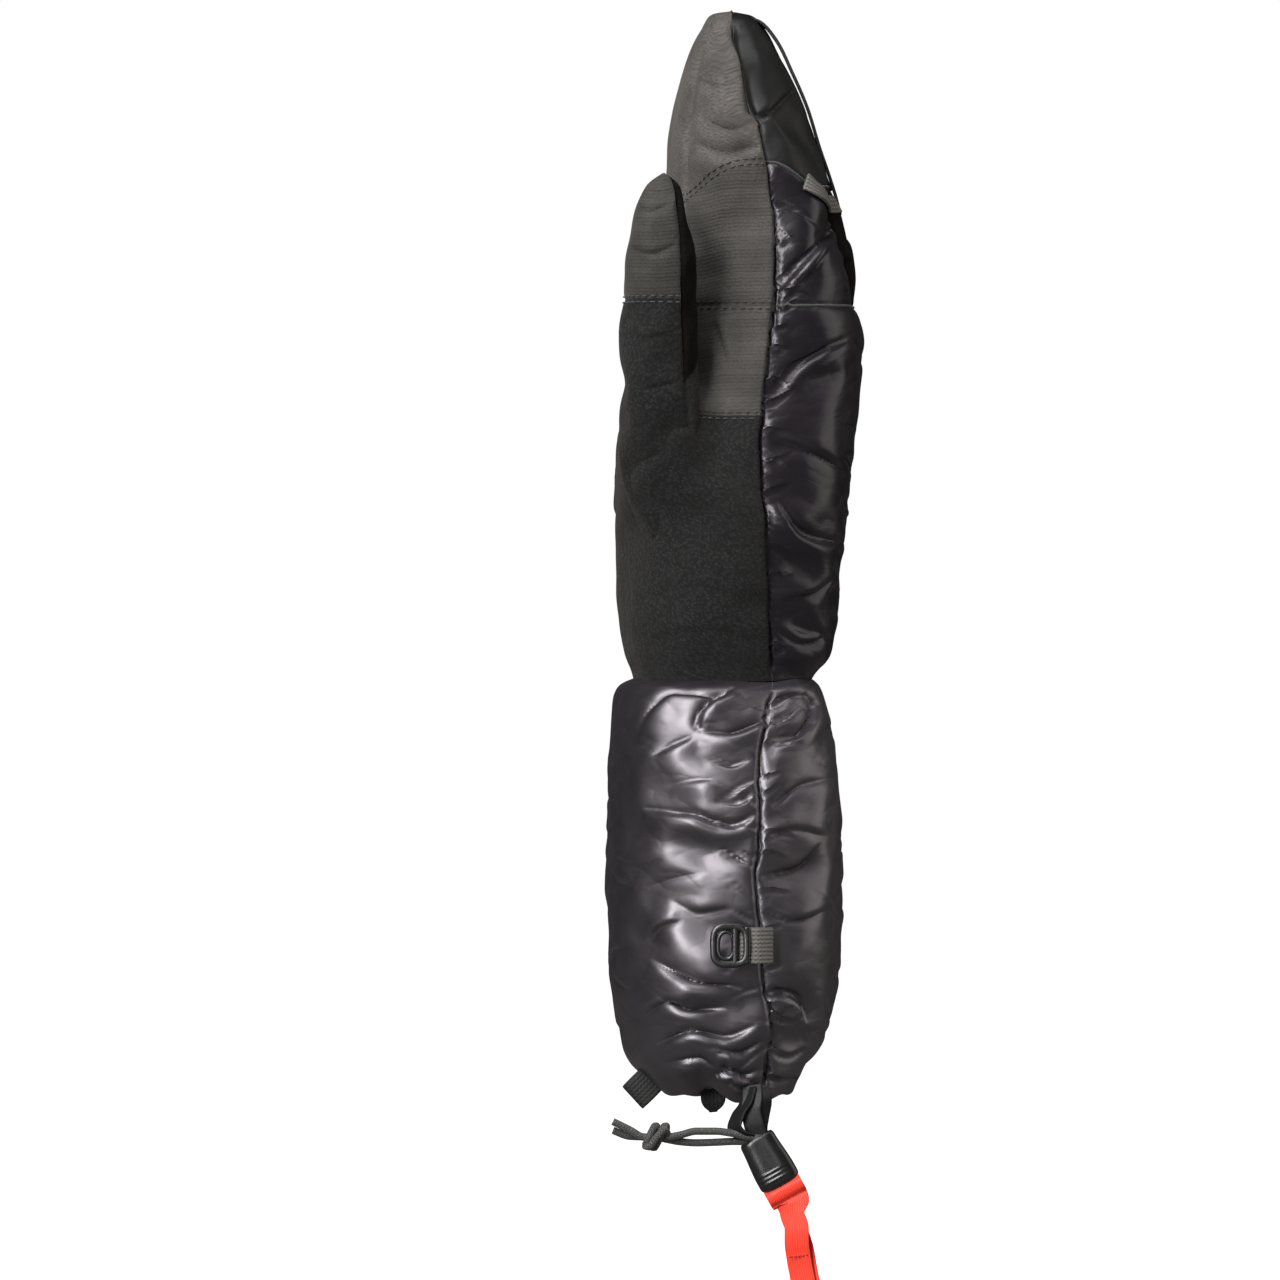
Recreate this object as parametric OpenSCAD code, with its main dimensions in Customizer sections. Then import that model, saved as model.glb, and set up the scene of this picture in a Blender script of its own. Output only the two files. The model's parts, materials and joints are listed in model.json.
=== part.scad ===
// Insulated expedition ski mitten for the right hand, hanging with the fingers up.
// Millimetres. +Z runs from the hem to the fingertips, +X is the back of the hand,
// -X the palm and -Y the thumb side. The origin is the centre of the hem opening.
// Every sewn piece is a separate closed solid.

/* [Mitten] */
// Overall height from the hem to the fingertip
mitten_h = 408; // [404:1:416]
// Superellipse exponent of the body sections, 2 is a plain ellipse
squareness = 2.4; // [2.1:0.1:2.8]
// Angle of the side seams, from the middle of the back of the hand
seam_angle = 77; // [70:1:84]
// Half angle of the ripstop tongue down the back of the fingers
tongue_angle = 20; // [15:1:30]

/* [Layers] */
// Thickness of a shell fabric panel
shell_t = 1.2; // [0.8:0.1:1.4]
// Thickness of the down fill at its thickest
fill_t = 11; // [8:1:12]
// Thickness of the fleece lining
lining_t = 1.6; // [1:0.1:2]
// Air gap that keeps neighbouring pieces apart
gap = 0.3; // [0.25:0.05:0.4]

/* [Joint lines] */
// Height of the wrist fold, where the gauntlet hinges on the hand
wrist_z = 156; // [154:1:158]
// Half height of the soft gap at the wrist fold
wrist_gap = 7; // [7:0.5:8]
// Height of the knuckle seam, where the fingers curl
knuckle_z = 296.5; // [294:0.5:299]
// Height of the lower edge of the ripstop panel above the suede palm
ripstop_z = 255.5; // [250:0.5:262]
// Height where the fingertip cap meets the upper back baffles
cap_z = 345; // [338:1:350]

/* [Cord lock] */
// Direction of the barrel, 180 hangs straight down
lock_tilt = 151; // [145:1:157]
// Length of the barrel
barrel_l = 19.5; // [19:0.5:21]
// Radius of each rounded side of the oval barrel
barrel_r = 5; // [4.8:0.1:5.4]
// Travel of the plunger when the red tab is pulled
plunger_travel = 3; // [2:0.5:3]
// Thickness of the shock cord
cord_d = 3; // [2.6:0.1:3]

/* [Webbing and buckle] */
// Width of the webbing on the back of the fingers
strap_w = 15; // [12:1:16]
// Width of the red pull tab
red_tab_w = 11; // [10:0.5:11]
// Height of the ladder buckle along the seam
buckle_h = 16.5; // [16.5:0.5:18]
// Thickness of the ladder buckle frame
buckle_t = 2.4; // [2.2:0.1:2.4]

/* [Hidden] */

// Body sections: [height, palm x, back x, thumb-side y, little-finger-side y].
HAND = [
    [wrist_z + wrist_gap, -34, 34, -43, 42],
    [175, -38, 40, -50, 49],
    [200, -41, 44, -57, 55],
    [238, -42, 47.5, -60, 59],
    [ripstop_z, -39, 49, -58, 60],
    [280, -31, 50.5, -52.5, 60],
    [knuckle_z, -27.5, 49.5, -50, 59.5],
    [320, -25, 46, -49.5, 58],
    [cap_z, -22.5, 39, -47, 53],
    [370, -19, 29.5, -41, 44],
    [390, -13.5, 20.5, -29, 32],
    [402, -7, 13, -16, 18],
    [mitten_h, -1, 7, -6, 7]
];
GAUNTLET = [
    [0, -27, 27, -44, 44],
    [6, -33, 30, -50, 49],
    [16, -38.5, 34, -57, 56],
    [34, -42, 40, -62, 61],
    [60, -43, 43, -65, 64],
    [95, -43.5, 43.5, -65, 64],
    [122, -43.5, 42, -62, 61],
    [138, -42.5, 39, -55, 54],
    [wrist_z - wrist_gap, -36, 34, -46, 45]
];
THUMB = [
    [238, -37, -13, -69, -43],
    [251, -40, -10, -75, -38],
    [277, -39.5, -11, -82, -45],
    [300, -38, -12, -89, -53.5],
    [318, -37, -13, -93.5, -60],
    [332, -34, -15, -95, -68],
    [342, -29.5, -18, -93, -76],
    [346, -26, -21, -88.5, -82]
];

// Fill thickness against height: thin at the hem, at the wrist and in the tip.
FILL_HAND = [[170, 4], [200, fill_t], [345, fill_t], [390, fill_t - 2]];
FILL_GAUNTLET = [[0, 3], [16, 6], [60, fill_t], [95, fill_t], [149, 4]];
FILL_THUMB = [[238, 3], [251, 4], [346, 4]];

section_points = 26;
seam_gap_angle = 0.5;
hand_rim_z = wrist_z + wrist_gap;
gauntlet_rim_z = wrist_z - wrist_gap;
finger_z0 = knuckle_z + 1;
hand_z1 = knuckle_z - 1;
hand_fill_z0 = 176;
gauntlet_fill_z0 = 16;
thumb_z0 = 238;
thumb_ripstop_z = 299;

// The thumb turns about this point; it leans out by this much per millimetre of height.
thumb_pivot = [-25, -56, 251];
thumb_lean = 0.33;

// Cord lock: the centre of its mouth, the side of the oval and the bore in it.
lock_mouth = [11.3, -54, -12.8];
oval_shift = 2.3;
bore_r = 3.35;
bore_clearance = 0.05;
floor_t = 2;
head_z = 8.5;
head_l = 3;
stem_r = 1.8;
stirrup_w = 14.4;
stirrup_t = 2;
bar_z = barrel_l + 5.7;
bar_r = 1;

// Hem channel: the drawcord lies between the shell and the facing.
channel_inset = shell_t + gap + 0.4 + cord_d / 2;

// Ladder buckle and the webbing tab it hangs on.
tab_bar = [8, -67.6];
tab_z = 59.2;
tab_w = 13.5;
tab_t = 0.8;
tab_end_x = 15.5;
tab_loop_r = 1.9;
buckle_reach = 14;
buckle_bar_r = 1.2;

// ---------- Section and skin helpers ----------

function rounded(v) = sign(v) * pow(abs(v), 2 / squareness);
function column(tab, z, k) = lookup(z, [for (s = tab) [s[0], s[k]]]);
function section_point(tab, z, a, inset) =
    let (
        palm = column(tab, z, 1),
        back = column(tab, z, 2),
        near = column(tab, z, 3),
        far = column(tab, z, 4),
        rx = max((back - palm) / 2 - inset, 0.6),
        ry = max((far - near) / 2 - inset, 0.6)
    )
    [(palm + back) / 2 + rx * rounded(cos(a)), (near + far) / 2 + ry * rounded(sin(a)), z];
function heights(tab, z0, z1) =
    concat([z0], [for (s = tab) if (s[0] > z0 + 1 && s[0] < z1 - 1) s[0]], [z1]);
function reversed(list) = [for (i = [len(list) - 1:-1:0]) list[i]];
function joined(lists) = [for (l = lists) for (p = l) p];
function unit(v) = v / norm(v);
function full_ring(tab, z, inset) =
    [for (i = [0:section_points - 1]) section_point(tab, z, i * 360 / section_points, inset)];
// A panel has the same corner angles as a full ring, so nested layers never cross.
function angle_steps(a0, a1) =
    let (step = 360 / section_points)
    concat([a0], [for (i = [ceil(a0 / step + 0.2):floor(a1 / step - 0.2)]) i * step], [a1]);
function strip_ring(tab, z, steps, outer, inner) = concat(
    [for (a = steps) section_point(tab, z, a, outer)],
    [for (a = reversed(steps)) section_point(tab, z, a, inner)]
);
function constant(inset) = [[0, inset], [mitten_h, inset]];
function plus(list, d) = [for (f = list) [f[0], f[1] + d]];

// Skins a list of equal rings; the ends are flat caps, or the last ring meets the first.
module skin(rings, loop = false, strip_caps = false) {
    n = len(rings[0]);
    m = len(rings);
    top = (m - 1) * n;
    sides = [for (i = [0:loop ? m - 1 : m - 2]) for (j = [0:n - 1])
        let (i2 = (i + 1) % m, j2 = (j + 1) % n)
        each [[i * n + j, i2 * n + j, i2 * n + j2], [i * n + j, i2 * n + j2, i * n + j2]]];
    flat_caps = [[for (j = [0:n - 1]) j], [for (j = [n - 1:-1:0]) top + j]];
    strips = joined([for (j = [0:n / 2 - 2]) [
        [j, j + 1, n - 2 - j, n - 1 - j],
        [top + n - 1 - j, top + n - 2 - j, top + j + 1, top + j]
    ]]);
    polyhedron(joined(rings), concat(sides, loop ? [] : strip_caps ? strips : flat_caps));
}

// A sewn panel: the part of a section between two heights and two angles.
module panel(tab, z0, z1, a0, a1) {
    steps = angle_steps(a0, a1);
    skin([for (z = heights(tab, z0, z1)) strip_ring(tab, z, steps, 0, shell_t)],
        strip_caps = true);
}
module back_panel(tab, z0, z1) panel(tab, z0, z1, -seam_angle, seam_angle);
module palm_panel(tab, z0, z1)
    panel(tab, z0, z1, seam_angle + seam_gap_angle, 360 - seam_angle - seam_gap_angle);

// A tube open at both ends. Its insets are lists of [height, inset]; at overrides its rings.
module tube(tab, z0, z1, outer, inner, at = []) {
    hs = len(at) > 0 ? at : heights(tab, z0, z1);
    up = [for (z = hs) full_ring(tab, z, lookup(z, outer))];
    down = [for (z = reversed(hs)) full_ring(tab, z, lookup(z, inner))];
    skin(concat(up, down), loop = true);
}

// A sock: open at the bottom, closed at the top both inside and outside.
module sock(tab, z0, z1, z1_inside, outer, inner) {
    down = [for (z = reversed(heights(tab, z0, z1_inside))) full_ring(tab, z, lookup(z, inner))];
    up = [for (z = heights(tab, z0, z1)) full_ring(tab, z, lookup(z, outer))];
    skin(concat(down, up));
}

// A round cord along a path of points; side_of is any direction the path never takes.
module cord(path, r, sides = 8, loop = false, side_of = [0, 1, 0]) {
    m = len(path);
    skin([for (i = [0:m - 1])
        let (
            before = loop ? path[(i + m - 1) % m] : path[max(i - 1, 0)],
            after = loop ? path[(i + 1) % m] : path[min(i + 1, m - 1)],
            t = unit(after - before),
            u = unit(cross(side_of, t)),
            v = cross(t, u)
        )
        [for (k = [0:sides - 1])
            path[i] + r * (cos(k * 360 / sides) * u + sin(k * 360 / sides) * v)]
    ], loop = loop);
}

// Flat webbing along a path; each point has its own width direction.
module webbing(path, wides, w, t) {
    m = len(path);
    skin([for (i = [0:m - 1])
        let (
            along = unit(path[min(i + 1, m - 1)] - path[max(i - 1, 0)]),
            side = unit(wides[i] - (wides[i] * along) * along),
            n = cross(along, side)
        )
        [for (c = [[-1, -1], [1, -1], [1, 1], [-1, 1]])
            path[i] + side * c[0] * w / 2 + n * c[1] * t / 2]
    ], strip_caps = true);
}
module straight_webbing(path, wide, w, t) webbing(path, [for (p = path) wide], w, t);

// Depth of the inside face of the fill below the shell surface, and of the lining.
function fill_inside(fill) = plus(fill, shell_t + gap);
function lining_outside(fill) = plus(fill, shell_t + 2 * gap);
function lining_inside(fill) = plus(fill, shell_t + 2 * gap + lining_t);
under_shell = constant(shell_t + gap);

// The space the thumb needs as it swings, taken out of the hand around its base.
module thumb_sweep()
    for (swing = [-5, 10, 25], low = [0, 25, 50])
        hull() {
            thumb_ball(swing, low);
            thumb_ball(swing, low + 25);
        }
module thumb_ball(swing, h)
    translate(thumb_pivot) rotate([0, -swing, 0]) translate([0, -thumb_lean * h, h])
        sphere(r = h == 0 ? 23 : 21, $fn = 16);

// ---------- Hand ----------

module back_shell_lower() color([0.22, 0.2, 0.23]) back_panel(HAND, hand_rim_z, hand_z1);

module palm_suede() color([0.12, 0.12, 0.12])
    difference() {
        palm_panel(HAND, hand_rim_z, ripstop_z - gap / 2);
        thumb_sweep();
    }

module knuckle_panel() color([0.3, 0.29, 0.28])
    difference() {
        palm_panel(HAND, ripstop_z + gap / 2, hand_z1);
        thumb_sweep();
    }

module hand_down_fill() color([0.9, 0.9, 0.88])
    difference() {
        tube(HAND, hand_fill_z0, hand_z1, under_shell, fill_inside(FILL_HAND));
        thumb_sweep();
    }

module hand_lining() color([0.35, 0.36, 0.38])
    difference() {
        tube(HAND, hand_fill_z0, hand_z1, lining_outside(FILL_HAND), lining_inside(FILL_HAND));
        thumb_sweep();
    }

// The collar fills the wrist fold from inside. Below the rim it stays within the circle
// that the rim of the gauntlet turns on.
module wrist_collar() color([0.15, 0.15, 0.15]) {
    depth = [[hand_rim_z, 8.4], [hand_rim_z + 6, shell_t + gap]];
    tube(HAND, 0, 0, depth, plus(depth, 2),
        at = [gauntlet_rim_z + 1, wrist_z, hand_rim_z, hand_rim_z + 6, 175]);
}

// ---------- Fingers ----------

module fingertip_cap() color([0.3, 0.29, 0.28]) back_panel(HAND, cap_z + gap / 2, mitten_h);

module back_tongue() color([0.3, 0.29, 0.28])
    panel(HAND, finger_z0, cap_z - gap / 2, -tongue_angle, tongue_angle);

module back_baffle_radial() color([0.22, 0.2, 0.23])
    panel(HAND, finger_z0, cap_z - gap / 2, -seam_angle, -tongue_angle - seam_gap_angle);

module back_baffle_ulnar() color([0.22, 0.2, 0.23])
    panel(HAND, finger_z0, cap_z - gap / 2, tongue_angle + seam_gap_angle, seam_angle);

module finger_palm_panel() color([0.3, 0.29, 0.28])
    palm_panel(HAND, finger_z0, cap_z - gap / 2);

module fingertip_patch() color([0.3, 0.29, 0.28])
    palm_panel(HAND, cap_z + gap / 2, mitten_h);

module finger_down_fill() color([0.9, 0.9, 0.88])
    sock(HAND, finger_z0, mitten_h - 2, 393, under_shell, fill_inside(FILL_HAND));

module finger_lining() color([0.35, 0.36, 0.38])
    sock(HAND, finger_z0, 392.6, 391, lining_outside(FILL_HAND), lining_inside(FILL_HAND));

// The strap stands proud of the fingertip so that a hook passes under it.
module hang_strap() color([0.2, 0.2, 0.2])
    straight_webbing(
        [for (p = [[14, 404], [22.5, 392], [29.5, 377], [35.5, 364], [40, 351], [43, 338]])
            [p[0], 0, p[1]]],
        [0, 1, 0], strap_w, 1.2);

module strap_end_tack() color([0.25, 0.24, 0.23])
    straight_webbing([[43.2, 0, 346], [46, 0, 335]], [0, 1, 0], strap_w + 3, 1.4);

// ---------- Thumb ----------

module thumb_front_panel() color([0.3, 0.29, 0.28])
    panel(THUMB, thumb_ripstop_z + gap / 2, 346, 130, 300);

module thumb_suede_panel() color([0.12, 0.12, 0.12])
    panel(THUMB, thumb_z0, thumb_ripstop_z - gap / 2, 130, 300);

module thumb_side_gusset() color([0.14, 0.14, 0.14])
    panel(THUMB, thumb_z0, 346, -59, 129);

module thumb_down_fill() color([0.9, 0.9, 0.88])
    sock(THUMB, thumb_z0, 344.5, 337, under_shell, fill_inside(FILL_THUMB));

module thumb_lining() color([0.35, 0.36, 0.38])
    sock(THUMB, thumb_z0, 336.5, 335, lining_outside(FILL_THUMB), lining_inside(FILL_THUMB));

// ---------- Gauntlet ----------

module gauntlet_back_panel() color([0.22, 0.2, 0.23]) back_panel(GAUNTLET, 0, gauntlet_rim_z);

module gauntlet_palm_panel() color([0.22, 0.2, 0.23]) palm_panel(GAUNTLET, 0, gauntlet_rim_z);

module gauntlet_down_fill() color([0.9, 0.9, 0.88])
    tube(GAUNTLET, gauntlet_fill_z0, gauntlet_rim_z, under_shell, fill_inside(FILL_GAUNTLET));

module gauntlet_lining() color([0.35, 0.36, 0.38])
    tube(GAUNTLET, gauntlet_fill_z0, gauntlet_rim_z,
        lining_outside(FILL_GAUNTLET), lining_inside(FILL_GAUNTLET));

module hem_facing() color([0.18, 0.17, 0.19])
    tube(GAUNTLET, 1, 15, constant(channel_inset + cord_d / 2 + 0.4),
        constant(channel_inset + cord_d / 2 + 1.4));

module hem_drawcord() color([0.1, 0.1, 0.1])
    cord(full_ring(GAUNTLET, 8, channel_inset), cord_d / 2, loop = true, side_of = [0, 0, 1]);

module lock_anchor_tab() color([0.16, 0.15, 0.17])
    straight_webbing([[10.5, -52, 4], [11, -53.6, -4], [11.3, -54, -11]], [1, 0, 0], 6, 0.8);

// Folded webbing loop inside the palm side of the hem.
module pull_loop_palm() color([0.12, 0.12, 0.12])
    straight_webbing(
        concat([[-13.5, -17, 13], [-13.5, -17, -1]],
            [for (a = [150, 120, 90, 60, 30]) [-13.5, -15 + 2 * cos(a), -1 - 2 * sin(a)]],
            [[-13.5, -13, -1], [-13.5, -13, 13]]),
        [1, 0, 0], 11, 0.8);

// Round cord loop inside the thumb side of the hem.
module pull_loop_centre() color([0.12, 0.12, 0.12])
    cord(concat([[-8, -30, 13]],
        [for (a = [180:30:360]) [-4.5 + 3.5 * cos(a), -30, 1.5 + 3.5 * sin(a)]],
        [[-1, -30, 13]]), cord_d / 2);

// Webbing folded round the bar of the ladder buckle, its two ends sewn into the seam.
module buckle_tab() color([0.28, 0.27, 0.25])
    translate([tab_bar[0], tab_bar[1], tab_z - tab_w / 2]) linear_extrude(tab_w)
        difference() {
            folded_strip(tab_loop_r + tab_t / 2, tab_end_x - tab_bar[0]);
            folded_strip(tab_loop_r - tab_t / 2, tab_end_x - tab_bar[0] + 1);
        }
module folded_strip(r, l) {
    circle(r, $fn = 32);
    translate([0, -r]) square([l, 2 * r]);
}

// ---------- Ladder buckle ----------

module ladder_buckle() color([0.17, 0.17, 0.17])
    translate([tab_bar[0], tab_bar[1], tab_z]) {
        for (s = [-1, 1]) side_rail(s);
        translate([0, 0, -buckle_h / 2]) cylinder(r = buckle_bar_r, h = buckle_h, $fn = 24);
        cross_bar(-buckle_reach / 2 - 0.8, 1.8);
        cross_bar(-buckle_reach + 0.2, 2);
    }
module side_rail(s)
    translate([-buckle_reach, -buckle_t / 2, s * (buckle_h / 2 - 0.6) - 0.6])
        cube([buckle_reach, buckle_t, 1.2]);
module cross_bar(x, w)
    translate([x, -buckle_t / 2, -buckle_h / 2]) cube([w, buckle_t, buckle_h]);

// ---------- Cord lock ----------

module at_lock() translate(lock_mouth) rotate([0, lock_tilt, 0]) children();
function lock_x() = [cos(lock_tilt), 0, -sin(lock_tilt)];
function lock_z() = [sin(lock_tilt), 0, cos(lock_tilt)];
function at_lock_point(y, z) = lock_mouth + [0, y, 0] + z * lock_z();

// An oval prism: two cylinders side by side and the block between them.
module oval(r, l) {
    for (s = [-1, 1]) translate([s * oval_shift, 0, 0]) cylinder(r = r, h = l, $fn = 48);
    translate([-oval_shift, -r, 0]) cube([2 * oval_shift, 2 * r, l]);
}

module lock_barrel() color([0.1, 0.1, 0.1]) at_lock()
    difference() {
        oval(barrel_r, barrel_l);
        translate([0, 0, -1]) oval(bore_r, barrel_l - floor_t + 1);
        translate([0, 0, barrel_l - floor_t - 1])
            cylinder(r = stem_r + bore_clearance, h = floor_t + 2, $fn = 48);
    }

// The plunger: an oval head, a stem and a stirrup that the red tab folds round.
module lock_plunger() color([0.2, 0.2, 0.2]) at_lock() {
    translate([0, 0, head_z]) oval(bore_r - bore_clearance, head_l);
    translate([0, 0, head_z + head_l - 0.5])
        cylinder(r = stem_r, h = barrel_l + 1 - head_z - head_l, $fn = 48);
    translate([-stirrup_w / 2, -stirrup_t / 2, barrel_l + 0.3]) cube([stirrup_w, stirrup_t, 1.6]);
    for (s = [-1, 1])
        translate([s * (stirrup_w / 2 - 0.6) - 0.6, -stirrup_t / 2, barrel_l + 0.3])
            cube([1.2, stirrup_t, bar_z + bar_r - barrel_l - 0.3]);
    translate([-stirrup_w / 2 + 0.3, 0, bar_z]) rotate([0, 90, 0])
        cylinder(r = bar_r, h = stirrup_w - 0.6, $fn = 24);
}

// The return spring, drawn at its closed length at the bottom of the bore.
module lock_spring() color([0.7, 0.7, 0.72]) at_lock()
    cord([for (i = [0:36])
        [2.58 * cos(i * 30), 2.58 * sin(i * 30), barrel_l - floor_t - 2.4 + i * 1.7 / 36]],
        0.24, sides = 6, side_of = [0, 0, 1]);

// Red webbing: a short back layer, the fold round the bar, and the long front layer.
module red_pull_tab() color([0.85, 0.2, 0.14]) {
    r = 1.8;
    fold = concat(
        [at_lock_point(r, bar_z + 8), at_lock_point(r, bar_z)],
        [for (a = [30, 60, 90, 120, 150]) at_lock_point(r * cos(a), bar_z - r * sin(a))],
        [at_lock_point(-r, bar_z), at_lock_point(-r, bar_z + 6)]
    );
    hanging = [[28.2, -56.6, -45], [29, -56, -55], [29.6, -54.5, -66], [30, -55, -78]];
    webbing(
        concat(fold, hanging),
        concat([for (p = fold) lock_x()],
            [[-0.96, 0, -0.28], [-0.99, 0, -0.1], [-1, 0, 0], [-1, 0, 0]]),
        red_tab_w, 0.8);
}

// ---------- Shock cord ends ----------

// The two ends leave the mouth of the lock side by side, run through the stopper knot
// and spread into two tails.
module drawcord_upper() color([0.1, 0.1, 0.1]) translate([0, lock_mouth[1], 0])
    cord([[14.5, -1.75, -13.8], [4, -1.75, -13.8], [-3, -1.75, -11], [-13, -1.7, -9.4],
        [-21, -1.65, -12.4], [-31.5, -1.65, -12.4], [-36, -1.65, -9], [-42, -1.6, -5.5]],
        cord_d / 2);

module drawcord_lower() color([0.1, 0.1, 0.1]) translate([0, lock_mouth[1], 0])
    cord([[14.5, 1.75, -13.8], [2, 1.75, -13.9], [-13, 1.7, -14.3], [-21, 1.65, -12.4],
        [-31.5, 1.65, -12.4], [-37, 1.65, -11.5], [-42.6, 1.6, -9.6]], cord_d / 2);

module stopper_knot() color([0.12, 0.12, 0.12])
    translate([-30.3, lock_mouth[1], -12.4]) rotate([0, 90, 0])
        difference() {
            cylinder(r = 5.4, h = 8, $fn = 32);
            translate([0, 0, -1]) cylinder(r = 3.4, h = 10, $fn = 32);
        }

back_shell_lower();
palm_suede();
knuckle_panel();
hand_down_fill();
hand_lining();
wrist_collar();
fingertip_cap();
back_tongue();
back_baffle_radial();
back_baffle_ulnar();
finger_palm_panel();
fingertip_patch();
finger_down_fill();
finger_lining();
hang_strap();
strap_end_tack();
thumb_front_panel();
thumb_side_gusset();
thumb_suede_panel();
thumb_down_fill();
thumb_lining();
gauntlet_palm_panel();
gauntlet_back_panel();
gauntlet_down_fill();
gauntlet_lining();
hem_facing();
hem_drawcord();
lock_anchor_tab();
pull_loop_palm();
pull_loop_centre();
buckle_tab();
ladder_buckle();
lock_barrel();
lock_spring();
lock_plunger();
red_pull_tab();
drawcord_upper();
drawcord_lower();
stopper_knot();
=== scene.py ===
"""Looks of a right-hand expedition ski mitten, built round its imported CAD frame.

Lengths are in millimetres until a mesh is made, and Blender works in metres. The frame's
axes: +Z to the fingertips, +X the back of the hand, -X the palm, -Y the thumb side.
"""

import json
import math

import bpy
import numpy as np
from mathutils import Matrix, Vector


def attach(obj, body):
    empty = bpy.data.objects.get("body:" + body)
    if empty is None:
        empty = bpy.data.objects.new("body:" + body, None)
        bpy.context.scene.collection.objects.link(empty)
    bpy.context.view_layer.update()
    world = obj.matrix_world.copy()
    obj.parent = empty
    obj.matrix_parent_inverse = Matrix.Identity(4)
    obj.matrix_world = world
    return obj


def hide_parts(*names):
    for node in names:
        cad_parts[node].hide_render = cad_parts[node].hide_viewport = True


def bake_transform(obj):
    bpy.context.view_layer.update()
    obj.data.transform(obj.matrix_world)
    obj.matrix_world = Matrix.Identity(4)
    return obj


MM = 0.001
# Exponent of the rounded-square sections: 2 would be an ellipse.
SQUARENESS = 2.5

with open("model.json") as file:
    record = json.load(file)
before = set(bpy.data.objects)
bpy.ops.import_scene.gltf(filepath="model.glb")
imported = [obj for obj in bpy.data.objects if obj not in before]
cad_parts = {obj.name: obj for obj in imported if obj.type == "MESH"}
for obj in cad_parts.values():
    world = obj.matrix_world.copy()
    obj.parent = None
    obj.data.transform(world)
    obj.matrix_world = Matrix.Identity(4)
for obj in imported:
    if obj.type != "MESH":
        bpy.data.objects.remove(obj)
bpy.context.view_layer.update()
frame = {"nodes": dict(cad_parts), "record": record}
JOINTS = {joint["name"]: joint for joint in frame["record"]["behaviour"]["joints"]}

# ---------- Driving shapes ----------

# Sections: height, palm x, back x, thumb-side y, little-finger-side y.
HAND = [
    (157, -33.8, 32.4, -41, 40),
    (165, -35.2, 36.2, -44, 43),
    (184, -37.5, 38.5, -51, 49),
    (202, -37.8, 40, -56, 54),
    (225, -38.3, 42.3, -58.5, 57),
    (249, -37, 45, -58, 59),
    (268, -32.5, 46.6, -55.5, 59),
    (290, -27.5, 48.2, -51.5, 58.5),
    (306, -25, 47.4, -50, 58),
    (324, -23.5, 43, -49, 57),
    (343, -21.5, 38.4, -47, 53),
    (362, -19.5, 31.0, -43, 47),
    (372, -17.8, 27.6, -39, 42),
    (383, -15.5, 23.8, -33, 36),
    (393, -12.5, 18.8, -25, 28),
    (402, -7.9, 13.6, -17, 19),
    (406.4, -4.8, 9.2, -10, 11),
    (407.5, 2.0, 2.2, -6, 7),
]
# The gauntlet runs down from the wrist seam, turns in at the hem and climbs inside.
GAUNTLET = [
    (157, -33.8, 32.4, -41, 40),
    (154, -37.6, 33.4, -45, 44),
    (147, -39.5, 35, -50, 49),
    (137, -40, 37, -55, 54),
    (120, -40.5, 39, -60, 59),
    (95, -40.5, 40, -62, 61),
    (60, -40, 39.5, -62, 61),
    (34, -38, 36.5, -59, 58),
    (16, -35, 31.5, -54.5, 53.5),
    (6, -30.5, 27.5, -49.5, 48.5),
    (0.8, -26, 25, -45, 44),
    (2, -23, 22.5, -42, 41),
    (10, -24, 23.5, -43, 42),
]
THUMB = [
    (196, -22, -8, -36, -22),
    (212, -31, -6, -47, -24),
    (230, -37, -5, -59.5, -30),
    (250, -39.5, -8.5, -72, -37),
    (272, -39, -10.5, -80.5, -43.5),
    (296, -37.5, -11.5, -87.5, -52),
    (316, -36, -12.5, -92.5, -59.5),
    (330, -33, -14.5, -94, -67),
    (340, -28.5, -17, -92.5, -74.5),
    (345, -23.2, -23, -89, -80),
]

# x of the side seam on the thumb side, against height.
HAND_SEAM = [
    (157, 17.6), (190, 16.9), (211, 15.8), (245, 13.5), (266, 15.4), (288, 17.3),
    (309, 19.1), (345, 17.3), (353, 16.1), (362, 13.2), (369, 8.4), (389, 6), (400, 2.3),
    (408, 2.3),
]
GAUNTLET_SEAM = [
    (0, 14), (16, 16), (25, 18.4), (42, 15.3), (71, 12.8), (90, 12), (108, 13.9),
    (123, 12.8), (135, 14.3), (157, 17.6),
]

# Heights of the hand's cross seams, and of its closed tip.
WRIST_Z = 157
RIPSTOP_Z = 256
KNUCKLE_Z = 297
CAP_Z = 345
TIP_Z = 407.5
# Half angle of the tongue on the back, against height, and where the other seams run.
TONGUE_ANGLE = [(297, 10), (336, 21), (408, 24)]
FAR_SEAM_ANGLE = 78
PALM_SEAM_SHARE = -0.78


# ---------- Numeric helpers ----------

def smooth(x, table, column=1):
    """Monotone cubic through a table's rows (first column against another)."""
    xs = np.array([row[0] for row in table], float)
    ys = np.array([row[column] for row in table], float)
    h = np.diff(xs)
    d = np.diff(ys) / h
    m = np.zeros(len(xs))
    m[0], m[-1] = d[0], d[-1]
    for i in range(1, len(xs) - 1):
        if d[i - 1] * d[i] > 0:
            w1, w2 = 2 * h[i] + h[i - 1], h[i] + 2 * h[i - 1]
            m[i] = (w1 + w2) / (w1 / d[i - 1] + w2 / d[i])
    x = np.clip(np.asarray(x, float), xs[0], xs[-1])
    i = np.clip(np.searchsorted(xs, x) - 1, 0, len(xs) - 2)
    t = (x - xs[i]) / h[i]
    return (
        (1 + 2 * t) * (1 - t) ** 2 * ys[i]
        + t * (1 - t) ** 2 * h[i] * m[i]
        + t * t * (3 - 2 * t) * ys[i + 1]
        + t * t * (t - 1) * h[i] * m[i + 1]
    )


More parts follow.
